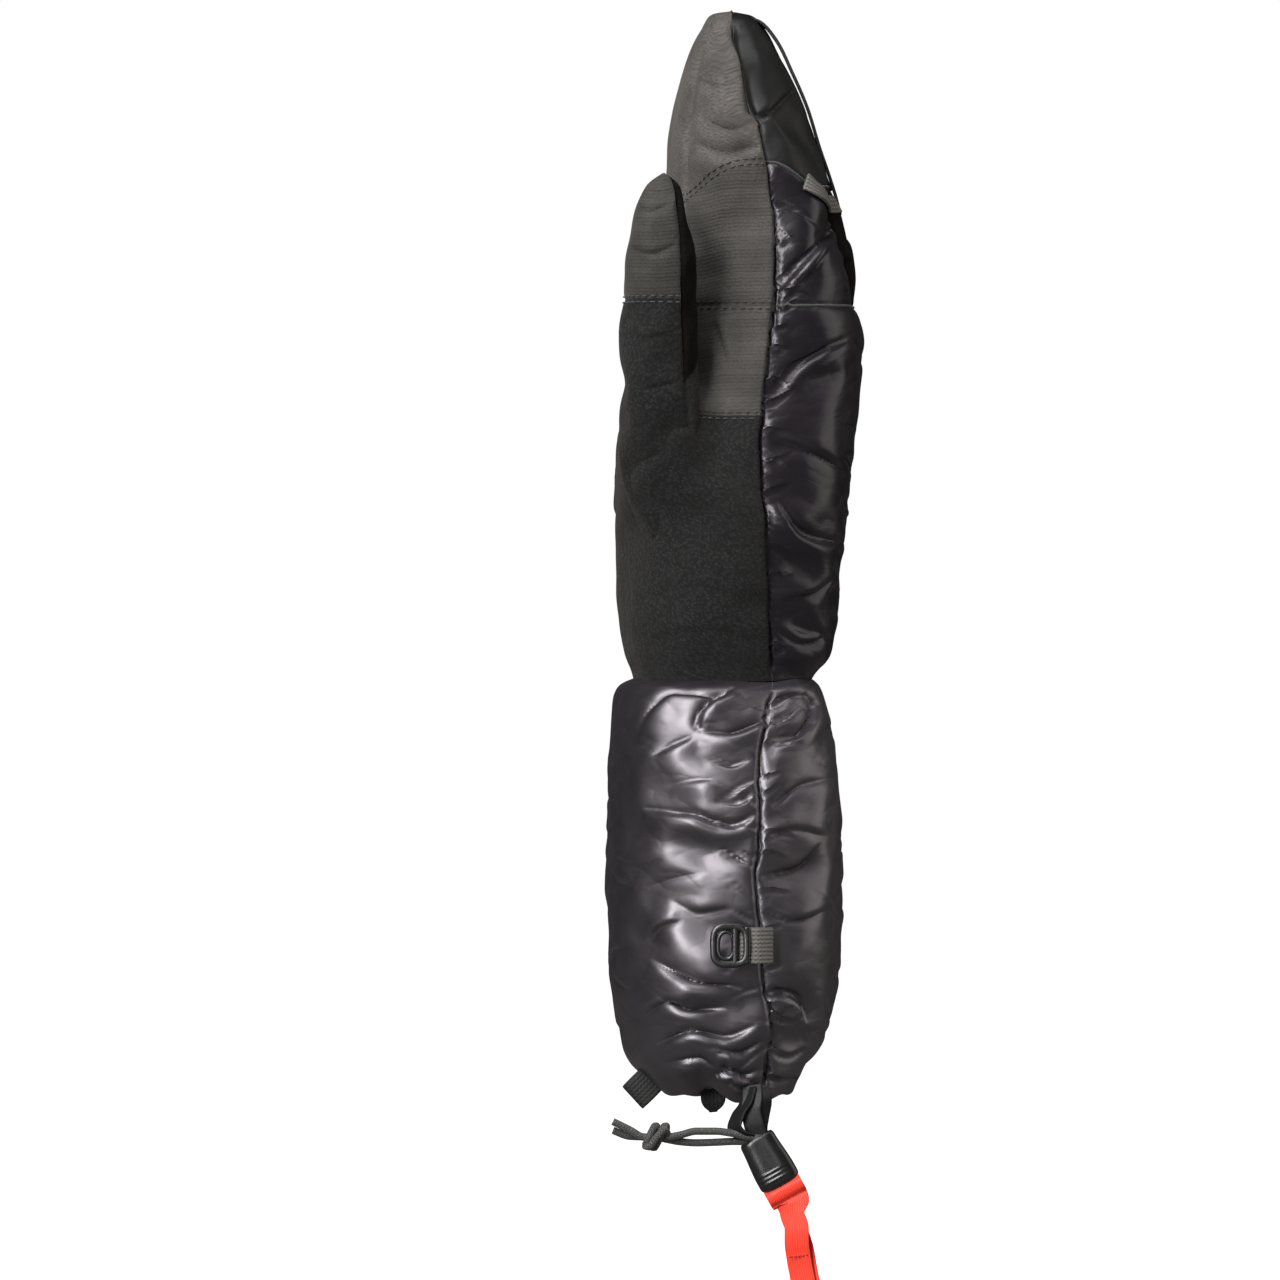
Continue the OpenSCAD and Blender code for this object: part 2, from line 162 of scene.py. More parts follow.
def step(lo, hi, x):
    t = np.clip((x - lo) / (hi - lo), 0, 1)
    return t * t * (3 - 2 * t)


def signed_power(v, k):
    return np.sign(v) * np.abs(v) ** k


def waves(points, scale, seed):
    """Smooth random field of about unit size, with features of the given size in mm."""
    count = 24
    rng = np.random.default_rng(seed)
    k = rng.normal(size=(count, 3))
    k *= (2 * np.pi / scale) * (0.6 + 0.8 * rng.random((count, 1))) / np.linalg.norm(
        k, axis=1, keepdims=True
    )
    phase = rng.random(count) * 2 * np.pi
    flat = points.reshape(-1, 3) @ k.T + phase
    return (np.sin(flat).sum(1) / math.sqrt(count / 2)).reshape(points.shape[:-1])


def section_at(z, table):
    """Centre and radii of a table's section at each height."""
    palm, back, near, far = (smooth(z, table, k) for k in range(1, 5))
    return (palm + back) / 2, (near + far) / 2, (back - palm) / 2, (far - near) / 2


def squared_ring(cx, cy, rx, ry, angles, z, power=2 / SQUARENESS):
    """Points of rounded-square sections at angles in degrees, 0 at +X and 90 at +Y."""
    a = np.radians(angles)
    x = cx + rx * signed_power(np.cos(a), power)
    y = cy + ry * signed_power(np.sin(a), power)
    return np.stack(np.broadcast_arrays(x, y, z), -1)


def angle_of_x(x, z, table):
    """Section angle, 0 to 180, at which the +Y half of the section has this x."""
    cx, _, rx, _ = section_at(z, table)
    share = np.clip((x - cx) / np.maximum(rx, 0.01), -0.97, 0.97)
    return angle_of_share(share)


def angle_of_share(share):
    """Section angle at which x is this share of its radius."""
    return np.degrees(np.arccos(signed_power(share, SQUARENESS / 2)))


def spread(edges, counts):
    """Column angles [row, column] between per-row edge angles, with so many columns each."""
    parts = []
    for a, b, n in zip(edges[:-1], edges[1:], counts):
        t = np.arange(n) / n
        parts.append(a[:, None] * (1 - t) + b[:, None] * t)
    return np.concatenate(parts, 1)


def rows_between(stops, spacing):
    """Row heights about this far apart, with a row exactly on every stop."""
    rows = []
    for a, b in zip(stops[:-1], stops[1:]):
        count = max(1, int(round((b - a) / spacing)))
        rows += list(a + (b - a) * np.arange(count) / count)
    return np.array(rows + [stops[-1]])


def nearest(rows, height):
    return int(np.argmin(abs(rows - height)))


def grid_normals(p):
    """Outward unit normals of a grid that wraps in its columns."""
    du = np.roll(p, -1, 1) - np.roll(p, 1, 1)
    dv = np.gradient(p, axis=0)
    n = np.cross(du, dv)
    return n / np.maximum(np.linalg.norm(n, axis=-1, keepdims=True), 1e-9)


def finer_columns(p):
    out = np.zeros((p.shape[0], p.shape[1] * 2, p.shape[2]))
    out[:, ::2] = p
    ends = np.roll(p, 1, 1) + np.roll(p, -2, 1)
    out[:, 1::2] = (9 * (p + np.roll(p, -1, 1)) - ends) / 16
    return out


def finer_rows(p):
    out = np.zeros((p.shape[0] * 2 - 1,) + p.shape[1:])
    out[::2] = p
    padded = np.concatenate([2 * p[:1] - p[1:2], p, 2 * p[-1:] - p[-2:-1]])
    out[1::2] = (9 * (p[:-1] + p[1:]) - padded[:-3] - padded[3:]) / 16
    return out


def evened(field, share):
    """A grid field blended once with its four neighbours, each at this share."""
    beside = np.roll(field, 1, 1) + np.roll(field, -1, 1)
    padded = np.concatenate([field[:1], field, field[-1:]])
    return (1 - 4 * share) * field + share * (beside + padded[:-2] + padded[2:])


def running_length(points):
    return np.concatenate([[0], np.cumsum(np.linalg.norm(np.diff(points, axis=0), axis=1))])


def along(length, known, values):
    """Vectors at the given lengths, straight between the known ones."""
    return np.stack([np.interp(length, known, values[:, k]) for k in range(values.shape[1])], 1)


# ---------- Meshes ----------

def new_mesh(name, verts_mm, faces, uvs=None):
    """A smooth object from points in mm and faces; uvs is one (u, v) in mm per vertex."""
    mesh = bpy.data.meshes.new(name)
    mesh.from_pydata((np.asarray(verts_mm, float) * MM).tolist(), [], [list(f) for f in faces])
    if uvs is not None:
        layer = mesh.uv_layers.new(name="mm")
        loop_vertex = np.zeros(len(mesh.loops), int)
        mesh.loops.foreach_get("vertex_index", loop_vertex)
        layer.data.foreach_set("uv", np.asarray(uvs, float)[loop_vertex].ravel())
    mesh.polygons.foreach_set("use_smooth", [True] * len(mesh.polygons))
    mesh.update()
    obj = bpy.data.objects.new(name, mesh)
    bpy.context.scene.collection.objects.link(obj)
    return obj


def quads(rows, cols, wrap=True):
    j, i = np.meshgrid(np.arange(rows - 1), np.arange(cols if wrap else cols - 1), indexing="ij")
    i2 = (i + 1) % cols
    return np.stack([j * cols + i, j * cols + i2, (j + 1) * cols + i2, (j + 1) * cols + i], -1)


def capped(rows, cols, base=0):
    """Faces of a tube with both ends closed, its points numbered from base."""
    faces = (quads(rows, cols).reshape(-1, 4) + base).tolist()
    faces.append([base + i for i in range(cols)][::-1])
    faces.append([base + (rows - 1) * cols + i for i in range(cols)])
    return faces


class Sheet:
    """A finished wrapped grid, opened at its first column, that panels are cut from."""

    def __init__(self, p):
        n = grid_normals(p)
        self.p = np.concatenate([p, p[:, :1]], 1)
        self.n = np.concatenate([n, n[:, :1]], 1)
        across = np.linalg.norm(np.diff(self.p, axis=1), axis=-1)
        up = np.linalg.norm(np.diff(self.p, axis=0), axis=-1)
        u = np.concatenate([np.zeros((p.shape[0], 1)), np.cumsum(across, 1)], 1)
        v = np.concatenate([np.zeros((1, self.p.shape[1])), np.cumsum(up, 0)], 0)
        self.uv = np.stack([u, 0.8 * self.p[..., 2] + 0.2 * v], -1)
        self.faces = quads(*self.p.shape[:2], wrap=False)

    def panel(self, name, mask):
        """One panel: the faces where mask [row, column] is true, with the sheet's normals."""
        faces = self.faces[mask]
        used, inverse = np.unique(faces, return_inverse=True)
        obj = new_mesh(
            name,
            self.p.reshape(-1, 3)[used],
            inverse.reshape(faces.shape),
            self.uv.reshape(-1, 2)[used],
        )
        obj.data.normals_split_custom_set_from_vertices(self.n.reshape(-1, 3)[used].tolist())
        return obj

    def line(self, row=None, column=None, rows=None, columns=None, lift=0.0):
        """Points along a row or a column of the sheet, lifted off it."""
        if row is None:
            pick = (slice(*(rows or (None,))), column)
        else:
            pick = (row, slice(*(columns or (None,))))
        return self.p[pick] + lift * self.n[pick], self.n[pick]


CLOTH = {
    "quality": 5, "mass": 0.15, "air_damping": 3, "tension_stiffness": 15,
    "compression_stiffness": 15, "shear_stiffness": 5, "bending_stiffness": 4.0,
    "use_pressure": True, "shrink_max": -0.005, "vertex_group_shrink": "taut",
    "vertex_group_mass": "holds",
}
# The cloth is settled this many times its size, where the solver is steady.
CLOTH_SCALE = 10.0
CLOTH_FRAMES = 20


def wrinkle(p, held, loose, pressure, swell, travel_mm, calm):
    """Lets a grid settle as cloth: cut swell percent larger than its form where loose is 1,
    fixed where held is 1, moved no further than travel_mm, and evened calm times."""
    rows, cols = p.shape[:2]
    obj = new_mesh("settling", (p * CLOTH_SCALE).reshape(-1, 3), quads(rows, cols).reshape(-1, 4))
    holds = obj.vertex_groups.new(name="holds")
    taut = obj.vertex_groups.new(name="taut")
    for index, (h, t) in enumerate(zip(held.ravel(), (1 - loose).ravel())):
        holds.add([index], float(h), "REPLACE")
        taut.add([index], float(t), "REPLACE")
    cloth = obj.modifiers.new("settle", "CLOTH")
    cloth.settings.shrink_min = -swell / 100
    for key, value in CLOTH.items():
        setattr(cloth.settings, key, value)
    cloth.settings.uniform_pressure_force = pressure
    cloth.settings.effector_weights.gravity = 0
    cloth.collision_settings.use_collision = False
    cloth.point_cache.frame_start = 1
    cloth.point_cache.frame_end = CLOTH_FRAMES
    scene = bpy.context.scene
    for moment in range(1, CLOTH_FRAMES + 1):
        scene.frame_set(moment)
    settled = obj.evaluated_get(bpy.context.evaluated_depsgraph_get())
    co = np.zeros(rows * cols * 3, np.float32)
    settled.data.vertices.foreach_get("co", co)
    moved = co.reshape(p.shape).astype(float) / MM / CLOTH_SCALE
    bpy.data.objects.remove(obj, do_unlink=True)
    scene.frame_set(1)
    shift = moved - p
    for _ in range(calm):
        shift = evened(shift, 0.125)
    size = np.linalg.norm(shift, axis=-1, keepdims=True)
    return p + shift * (np.tanh(size / travel_mm) * travel_mm / np.maximum(size, 1e-6))


def crease(p, strokes, axis=1, sign=-1):
    """Presses folds into the side of a grid that faces along an axis. A stroke is its points
    (x or y, then z), a depth and a width: a sharp valley with a rounded ridge on the left of
    its direction, which falls away slowly."""
    n = grid_normals(p)
    facing = step(0.02, 0.35, sign * n[..., axis]).ravel()
    flat = p.reshape(-1, 3)[:, [1 - axis, 2]]
    push = np.zeros(len(flat))
    for points, depth, width in strokes:
        line = along_path([(x, z, 0) for x, z in points], 1.6)[:, :2]
        reach = 8 * width
        low, high = line.min(0) - reach, line.max(0) + reach
        near = np.all((flat > low) & (flat < high), axis=1) & (facing > 0)
        index = np.nonzero(near)[0]
        if not len(index):
            continue
        q = flat[index]
        best = np.full(len(q), 1e9)
        offset = np.zeros(len(q))
        share = np.zeros(len(q))
        total = len(line) - 1
        for k in range(total):
            a, d = line[k], line[k + 1] - line[k]
            rel = q - a
            t = np.clip((rel @ d) / (d @ d), 0, 1)
            gap = rel - t[:, None] * d
            dist = np.hypot(gap[:, 0], gap[:, 1])
            cross = d[0] * rel[:, 1] - d[1] * rel[:, 0]
            closer = dist < best
            best = np.where(closer, dist, best)
            offset = np.where(closer, np.sign(cross) * dist, offset)
            share = np.where(closer, (k + t) / total, share)
        taper = np.sin(np.pi * share) ** 0.7 * np.exp(-((best / (6 * width)) ** 4))
        valley = -np.exp(-np.abs(offset) / (0.75 * width))
        over = np.maximum(offset, 0) / (1.25 * width)
        ridge = 0.85 * over * np.exp(1 - over)
        push[index] += depth * taper * (valley + ridge) * facing[index]
    return p + n * push.reshape(p.shape[:2])[..., None]


def scattered_folds(seed, count, across, heights, length=(14, 30), depth=(0.5, 1.5)):
    """Gently arched folds at random places, mostly lying across the panel."""
    rng = np.random.default_rng(seed)
    strokes = []
    for _ in range(count):
        x = rng.uniform(*across)
        z = rng.uniform(*heights)
        size = rng.uniform(*length) / 2
        tilt = rng.uniform(-0.5, 0.5)
        arch = rng.uniform(-0.3, 0.3) * size
        ends = [(x - size, z - size * tilt), (x, z + arch), (x + size, z + size * tilt)]
        if rng.random() < 0.5:
            ends = ends[::-1]
        deep = rng.uniform(*depth)
        strokes.append((ends, deep, rng.uniform(1.3, 2.4)))
    return strokes


def seam_gathers(seed, seam, low, high, pitch, reach, deep, sides=(-1, 1)):
    """Short folds that run out of a seam, alternating up and down."""
    rng = np.random.default_rng(seed)
    strokes = []
    for side in sides:
        z = low + rng.uniform(0, pitch)
        while z < high:
            x = float(smooth(z, seam))
            size = reach * rng.uniform(0.5, 1.4)
            climb = size * rng.uniform(-0.9, 0.9)
            points = [(x + side * 0.5, z), (x + side * size * 0.5, z + climb * 0.35),
                      (x + side * size, z + climb)]
            strokes.append((points, deep * rng.uniform(0.5, 1.4), rng.uniform(0.8, 1.3)))
            z += pitch * rng.uniform(0.5, 1.6)
    return strokes


def along_path(points, spacing):
    """A smooth path through points, resampled at about this spacing."""
    p = np.array(points, float)
    s = running_length(p)
    t = np.linspace(0, s[-1], max(int(s[-1] / spacing), 2) + 1)
    if len(p) == 2:
        return along(t, s, p)
    return np.stack([smooth(t, list(zip(s, p[:, k]))) for k in range(p.shape[1])], 1)


def sweep(name, path, wide, section, closed=False):
    """Sweeps a closed 2-D section (x along wide, y across it) along a path, with end caps."""
    path = np.asarray(path, float)
    count = len(path)
    if closed:
        tangent = np.roll(path, -1, 0) - np.roll(path, 1, 0)
    else:
        tangent = np.gradient(path, axis=0)
    tangent /= np.linalg.norm(tangent, axis=1, keepdims=True)
    wide = np.broadcast_to(np.asarray(wide, float), path.shape)
    across = np.cross(tangent, wide)
    across /= np.maximum(np.linalg.norm(across, axis=1, keepdims=True), 1e-9)
    side = np.cross(across, tangent)
    section = np.asarray(section, float)
    if section.ndim == 2:
        section = np.broadcast_to(section, (count,) + section.shape)
    m = section.shape[1]
    pts = (
        path[:, None]
        + side[:, None] * section[..., :1]
        + across[:, None] * section[..., 1:2]
    )
    length = np.repeat(running_length(path)[:, None], m, 1)
    uv = np.stack([section[..., 0] + section[..., 1], length], -1).reshape(-1, 2)
    if closed:
        faces = (quads(count + 1, m).reshape(-1, 4) % (count * m)).tolist()
    else:
        faces = capped(count, m)
    return new_mesh(name, pts.reshape(-1, 3), faces, uv)


def oval(a, b, sides, squareness=2.0):
    t = np.radians(np.arange(sides) * 360 / sides)
    x = a * signed_power(np.cos(t), 2 / squareness)
    y = b * signed_power(np.sin(t), 2 / squareness)
    return np.stack([x, y], 1)


def tape(name, points, wide, width, thick, spacing=0.8):
    """A flat woven strip with rounded edges along a path; wide is its width's direction."""
    path = along_path(points, spacing)
    return sweep(name, path, wide, oval(width / 2, thick / 2, 28, 7.0))


def cord(name, points, radius, spacing=0.7):
    path = along_path(points, spacing)
    return sweep(name, path, (0.13, 0.98, 0.15), oval(radius, radius, 14))


def joined(name, parts):
    """One object from several, keeping every mesh as it is."""
    verts, faces, uvs = [], [], []
    for part in parts:
        mesh = part.data
        base = len(verts)
        verts += [tuple(v.co / MM) for v in mesh.vertices]
        vertex_uv = [(0.0, 0.0)] * len(mesh.vertices)
        if mesh.uv_layers:
            for loop, uv in zip(mesh.loops, mesh.uv_layers[0].data):
                vertex_uv[loop.vertex_index] = tuple(uv.uv)
        uvs += vertex_uv
        faces += [[base + i for i in poly.vertices] for poly in mesh.polygons]
        bpy.data.objects.remove(part, do_unlink=True)
    return new_mesh(name, verts, faces, uvs)


# Rows of a fine grid at which a seam's two lines of thread run, from the seam.
STITCH_ROWS = (-2, 2)


def stitches(name, line, normals, pitch=3.2, length=2.1, radius=0.33):
    """A row of sewn thread bumps along a line on a surface."""
    s = running_length(line)
    verts, faces, uvs = [], [], []
    sides, steps = 6, 5
    for start in np.arange(0.4, s[-1] - length, pitch):
        t = start + length * np.linspace(0, 1, steps)
        mid = along(t, s, line)
        up = along(t, s, normals)
        up /= np.linalg.norm(up, axis=1, keepdims=True)
        forward = (mid[-1] - mid[0]) / np.linalg.norm(mid[-1] - mid[0])
        side = np.cross(up, forward)
        arch = np.sin(np.linspace(0.12, math.pi - 0.12, steps))
        base = len(verts)
        for k in range(steps):
            for a in np.arange(sides) * 2 * math.pi / sides:
                r = radius * (0.45 + 0.55 * arch[k])
                point = mid[k] + up[k] * (radius * (1.2 * arch[k] - 0.5))
                point = point + side[k] * (math.cos(a) * r) + up[k] * (math.sin(a) * r)
                verts.append(point)
                uvs.append((a, t[k]))
        faces += capped(steps, sides, base)
    return new_mesh(name, verts, faces, uvs)


# ---------- Hand and fingers ----------

def seam_angle_thumb_side(z):
    """Angle of the seam between the back and the thumb-side wall."""
    return 360 - angle_of_x(smooth(z, HAND_SEAM), z, HAND)


# Columns of the far wall, palm, near wall, near back, tongue and far back.
HAND_COLUMNS = (22, 26, 22, 20, 20, 20)
ROW_SPACING = 2.6


def hand_rows():
    """Row heights with rows exactly on the sewn cross seams."""
    return rows_between([WRIST_Z, 165, RIPSTOP_Z, KNUCKLE_Z, CAP_Z, 406.4, TIP_Z], ROW_SPACING)


def hand_angles(v):
    palm = angle_of_share(PALM_SEAM_SHARE)
    flat = np.ones_like(v)
    tongue = smooth(v, TONGUE_ANGLE)
    near_back = seam_angle_thumb_side(v)
    far_back = FAR_SEAM_ANGLE * flat
    edges = [
        far_back, palm * flat, (360 - palm) * flat, near_back,
        360 - tongue, 360 + tongue, 360 + far_back,
    ]
    return spread(edges, HAND_COLUMNS)


def cap_line(angles, v):
    """How far the cap seam is drawn up or down the rows about CAP_Z."""
    a = angles
    palm = 360 - angle_of_share(PALM_SEAM_SHARE)
    seam = seam_angle_thumb_side(np.full(1, float(CAP_Z)))[0]
    wall = -7.5 + 13.5 * step(palm, seam, np.clip(a, palm, seam)) ** 0.7
    back = 6.5 - 9.5 * step(seam + 4, seam + 36, a)
    lift = np.where(a < seam, wall, back)
    far = -2.0 * step(70, 110, a) - 5.5 * step(120, 180, a)
    lift = np.where(a < 180, far, lift)
    lift = np.where((a >= 180) & (a < palm), -7.5, lift)
    near = np.exp(-(((v - CAP_Z) / 20) ** 2))
    return lift * near


# The swell the thumb grows out of: the heights at which it starts, is full, fades and ends,
# how much later it fades on the side towards the back, and the most it rises.
MOUND_Z = (200, 226, 243, 259)
MOUND_LATE = 8.0
MOUND_RISE = 24
MOUND_SOFTNESS = 4.0
MOUND_PASSES = 14


def thumb_mound(p):
    """Swells the hand's thumb side so that the thumb grows out of it."""
    x, y, z = p[..., 0], p[..., 1], p[..., 2]
    cx, cy, rx, ry = section_at(z, THUMB)
    rx, ry = rx * 1.10, ry + 1.0
    share = np.clip(np.abs((x - cx) / rx), 0, 1)
    reach = cy - ry * (1 - share ** 2.4) ** (1 / 2.4)
    late = np.where(x > cx, MOUND_LATE, 0.0)
    start, full, fades, ends = MOUND_Z
    strength = step(start, full, z) * (1 - step(fades + late, ends + late, z)) * (y < 0)
    gap = np.clip((y - reach) / MOUND_SOFTNESS, -30, 30)
    more = np.log1p(np.exp(gap)) * MOUND_SOFTNESS
    rise = strength * np.minimum(more, MOUND_RISE) * (np.abs((x - cx) / rx) < 1.0)
    for _ in range(MOUND_PASSES):
        rise = evened(rise, 0.15)
    out = p.copy()
    out[..., 1] -= rise
    return out


# Pressed folds: points across and up, depth, width.
HAND_FOLDS = [
    ([(43, 329), (31, 316), (19, 304)], 2.2, 2.0),
    ([(20, 296), (32, 309), (40, 322)], 1.0, 1.4),
    ([(46, 285), (29, 276), (17, 263)], 2.4, 2.4),
    ([(19, 246), (30, 243), (46, 235)], 1.8, 2.2),
    ([(46, 208), (30, 212), (20, 225)], 2.8, 2.4),
    ([(22, 186), (34, 190), (44, 199)], 1.6, 2.4),
    ([(36, 326), (27, 333), (19, 336)], 1.0, 1.5),
    ([(19, 177), (29, 171), (39, 174)], 1.4, 1.8),
    ([(12, 366), (2, 363.5), (-10, 367)], 4.6, 3.6),
    ([(13, 356), (2, 353.5), (-10, 357)], 4.2, 3.4),
    ([(-12, 382), (-2, 379), (6, 381)], 1.2, 2.6),
    ([(-4, 291), (-2, 284), (1, 275)], 1.6, 1.5),
    ([(10.5, 366.5), (17, 369), (26, 379)], 1.6, 2.0),
    ([(-34, 186), (-14, 192), (8, 188)], 0.5, 3.0),
    ([(-30, 172), (-10, 176), (12, 171)], 0.5, 2.6),
]
# Name: lower and upper seam, first and last column seam, material slot, look, CAD nodes.
HAND_PANELS = {
    "palm_suede_panel": (WRIST_Z, KNUCKLE_Z, 1, 2, "suede", "suede",
                         ("palm_suede", "knuckle_panel", "hand_down_fill")),
    "thumb_side_suede_wall": (WRIST_Z, RIPSTOP_Z, 2, 3, "suede", "suede", ()),
    "far_side_suede_wall": (WRIST_Z, RIPSTOP_Z, 0, 1, "suede", "suede", ()),
    "back_shell_nylon": (WRIST_Z, KNUCKLE_Z, 3, 6, "shiny_shell", "nylon",
                         ("back_shell_lower", "wrist_collar", "hand_lining")),
    "baffle_thumb_side": (KNUCKLE_Z, CAP_Z, 3, 4, "shiny_shell", "nylon", ("back_baffle_radial",)),
    "baffle_far_side": (KNUCKLE_Z, CAP_Z, 5, 6, "shiny_shell", "nylon", ("back_baffle_ulnar",)),
    "tongue_panel": (KNUCKLE_Z, CAP_Z, 4, 5, "ripstop", "dark_softshell_and_painted_shade", ("back_tongue",)),
    # The thumb-side ripstop walls take the paler copy of the ripstop: painted light where the thumb
    # shades them.
    "ripstop_wall_upper": (KNUCKLE_Z, CAP_Z, 2, 3, "ripstop", "ripstop_with_painted_light", ()),
    "ripstop_wall_lower": (RIPSTOP_Z, KNUCKLE_Z, 2, 3, "ripstop", "ripstop_with_painted_light", ()),
    "ripstop_far_wall": (RIPSTOP_Z, CAP_Z, 0, 1, "ripstop", "ripstop", ()),
    "finger_palm_ripstop": (KNUCKLE_Z, CAP_Z, 1, 2, "ripstop", "softshell",
                            ("finger_palm_panel", "finger_down_fill", "finger_lining")),
    "tip_palm_softshell": (CAP_Z, TIP_Z, 0, 3, "ripstop", "softshell", ("fingertip_patch",)),
    "tip_back_cap": (CAP_Z, TIP_Z, 3, 6, "ripstop", "cap", ("fingertip_cap",)),
}


def hand_form():
    """The settled coarse grid of the hand, with its row and column seams."""
    v = hand_rows()
    angles = hand_angles(v)
    vv = np.repeat(v[:, None], angles.shape[1], 1)
    z = vv + cap_line(angles, vv)
    p = thumb_mound(squared_ring(*section_at(z, HAND), angles, z))
    held = np.zeros(p.shape[:2])
    starts = np.concatenate([[0], np.cumsum(HAND_COLUMNS)])[:-1]
    held[:, starts[[0, 3]]] = 1
    held[np.ix_(v > RIPSTOP_Z - 1, starts[[1, 2]])] = 1
    on_fingers = v > KNUCKLE_Z - 1
    for column in starts[[4, 5]]:
        held[on_fingers, column] = 1
    for height in (WRIST_Z, KNUCKLE_Z, CAP_Z, TIP_Z):
        held[nearest(v, height)] = 1
    held[nearest(v, RIPSTOP_Z), starts[2]:starts[3]] = 1
    held[:3] = 1
    loose = np.full(p.shape[:2], 0.30)
    loose[:, starts[3]:] = 1.0
    loose[v > CAP_Z, :] = 0.1
    ripstop = (v > RIPSTOP_Z) & (v <= CAP_Z)
    loose[np.ix_(ripstop, range(starts[2], starts[3]))] = 0.55
    loose[on_fingers, starts[4]:starts[5]] = 0.35
    settled = wrinkle(p, held, loose, pressure=0.5, swell=5.0, travel_mm=4.0, calm=4)
    return settled, v, starts


# How far a seam that runs round the form draws in.
ROW_DEPTH = 0.5


def seam_dress(p, columns, rows, spans, sides, pucker, depth=0.9, pitch=2.7, seed=3):
    """Draws the fine grid in along its seams. sides holds, for each seam, how far the panels
    before and after it tuck down into it; shiny panels that tuck in deeply also gather."""
    n = grid_normals(p)
    cols = p.shape[1]
    across = np.linalg.norm(np.roll(p, -1, 1) - p, axis=-1)
    u = np.concatenate([np.zeros((p.shape[0], 1)), np.cumsum(across, 1)[:, :-1]], 1)
    total = across.sum(1, keepdims=True)
    up = np.linalg.norm(np.diff(p, axis=0), axis=-1)
    s = np.concatenate([np.zeros((1, cols)), np.cumsum(up, 0)])
    wander = waves(p, 30, seed) * 0.35
    near = np.zeros(p.shape[:2])
    crosswise = np.zeros(p.shape[:2])
    gather = np.zeros(p.shape[:2])
    tuck = np.zeros(p.shape[:2])
    shiny = 1 - 0.85 * step(338, 350, p[..., 2])
    for column, (low, high), (before, after) in zip(columns, spans, sides):
        gap = u - u[:, column:column + 1]
        gap = np.where(gap > total / 2, gap - total, gap)
        gap = np.where(gap < -total / 2, gap + total, gap)
        pull = np.where(gap < 0, before, after)
        gap = np.abs(gap)
        live = step(low - 1, low + 4, p[..., 2]) * (1 - step(high - 4, high + 1, p[..., 2]))
        near = np.maximum(near, np.exp(-((gap / 1.3) ** 2)) * live)
        tuck = np.maximum(tuck, pull * np.exp(-gap / 9.0) * live)
        fade = np.exp(-((gap - 1.3) / 1.6) ** 2) * np.minimum(pull / 2, 1) * shiny
        gather += fade * np.sin(2 * np.pi * s / pitch + 1.5 * wander) * live
    for row, (first, last) in rows:
        gap = np.abs(s - s[row:row + 1])
        live = np.zeros(cols)
        live[np.arange(first, last) % cols] = 1
        crosswise = np.maximum(crosswise, np.exp(-((gap / 1.2) ** 2)) * live)
        fade = np.exp(-gap / 2.6) * (1 - np.exp(-((gap / 0.9) ** 2)))
        gather += 0.5 * fade * np.sin(2 * np.pi * u / (pitch * 1.3) + 1.7 * wander) * live
    rumple = waves(p, 15, seed + 1) * 0.10 + waves(p, 34, seed + 2) * 0.3
    sunk = np.maximum(depth * near, ROW_DEPTH * crosswise) + tuck
    shift = -sunk + pucker * gather + rumple * (1 - near)
    return p + n * shift[..., None]


def build_hand():
    """Panels of the hand and fingers. Returns (pieces by name, sheet, row index, column index)."""
    coarse, v, starts = hand_form()
    fine = finer_columns(finer_rows(finer_rows(coarse)))
    gathers = seam_gathers(31, HAND_SEAM, 160, 342, 7.5, 9, 0.7, (1,))
    fine = crease(fine, HAND_FOLDS + gathers)
    fine = crease(fine, scattered_folds(32, 26, (-34, 34), (170, 290), depth=(0.4, 1.1)), 0, 1)
    fine = crease(fine, scattered_folds(33, 8, (-30, 34), (302, 338), (10, 22), (0.4, 1.0)), 0, 1)
    fine = crease(fine, scattered_folds(34, 9, (-30, 34), (180, 330), (16, 34), (0.3, 0.7)), 0, -1)
    far = scattered_folds(35, 12, (20, 46), (170, 335), (12, 24))
    fine = crease(fine, far + seam_gathers(36, HAND_SEAM, 160, 342, 8, 8, 0.7, (1,)), 1, 1)
    row = {height: 4 * nearest(v, height)
           for height in (WRIST_Z, RIPSTOP_Z, KNUCKLE_Z, CAP_Z, TIP_Z)}
    col = [2 * int(c) for c in starts] + [fine.shape[1]]
    seams = [
        ((158, 404), (3.0, 0.6)),
        ((RIPSTOP_Z, 404), (0.3, 0.3)),
        ((RIPSTOP_Z, 404), (0.3, 0.3)),
        ((158, 404), (0.6, 3.0)),
        ((KNUCKLE_Z, 342), (0.6, 0.3)),
        ((KNUCKLE_Z, 342), (0.3, 0.6)),
    ]
    spans, sides = zip(*seams)
    rows = [
        (row[KNUCKLE_Z], (0, fine.shape[1])),
        (row[CAP_Z], (0, fine.shape[1])),
        (row[RIPSTOP_Z], (col[0], col[3])),
    ]
    sheet = Sheet(seam_dress(fine, col[:6], rows, spans, sides, pucker=0.14))
    pieces = {}
    for name, (low, high, first, last, *_) in HAND_PANELS.items():
        mask = np.zeros(sheet.faces.shape[:2], bool)
        mask[row[low]:row[high], col[first]:col[last]] = True
        pieces[name] = sheet.panel(name, mask)
    return pieces, sheet, row, col


# ---------- Thumb ----------

THUMB_ROOT_Z = 196
THUMB_STITCH_Z = 298.5
THUMB_TIP_Z = 345
# Where the softshell side starts, and how far it arches up between its seams.
GUSSET_Z = 268
GUSSET_RISE = 13
# Columns of the front and of the side facing the hand.
THUMB_COLUMNS = (36, 34)
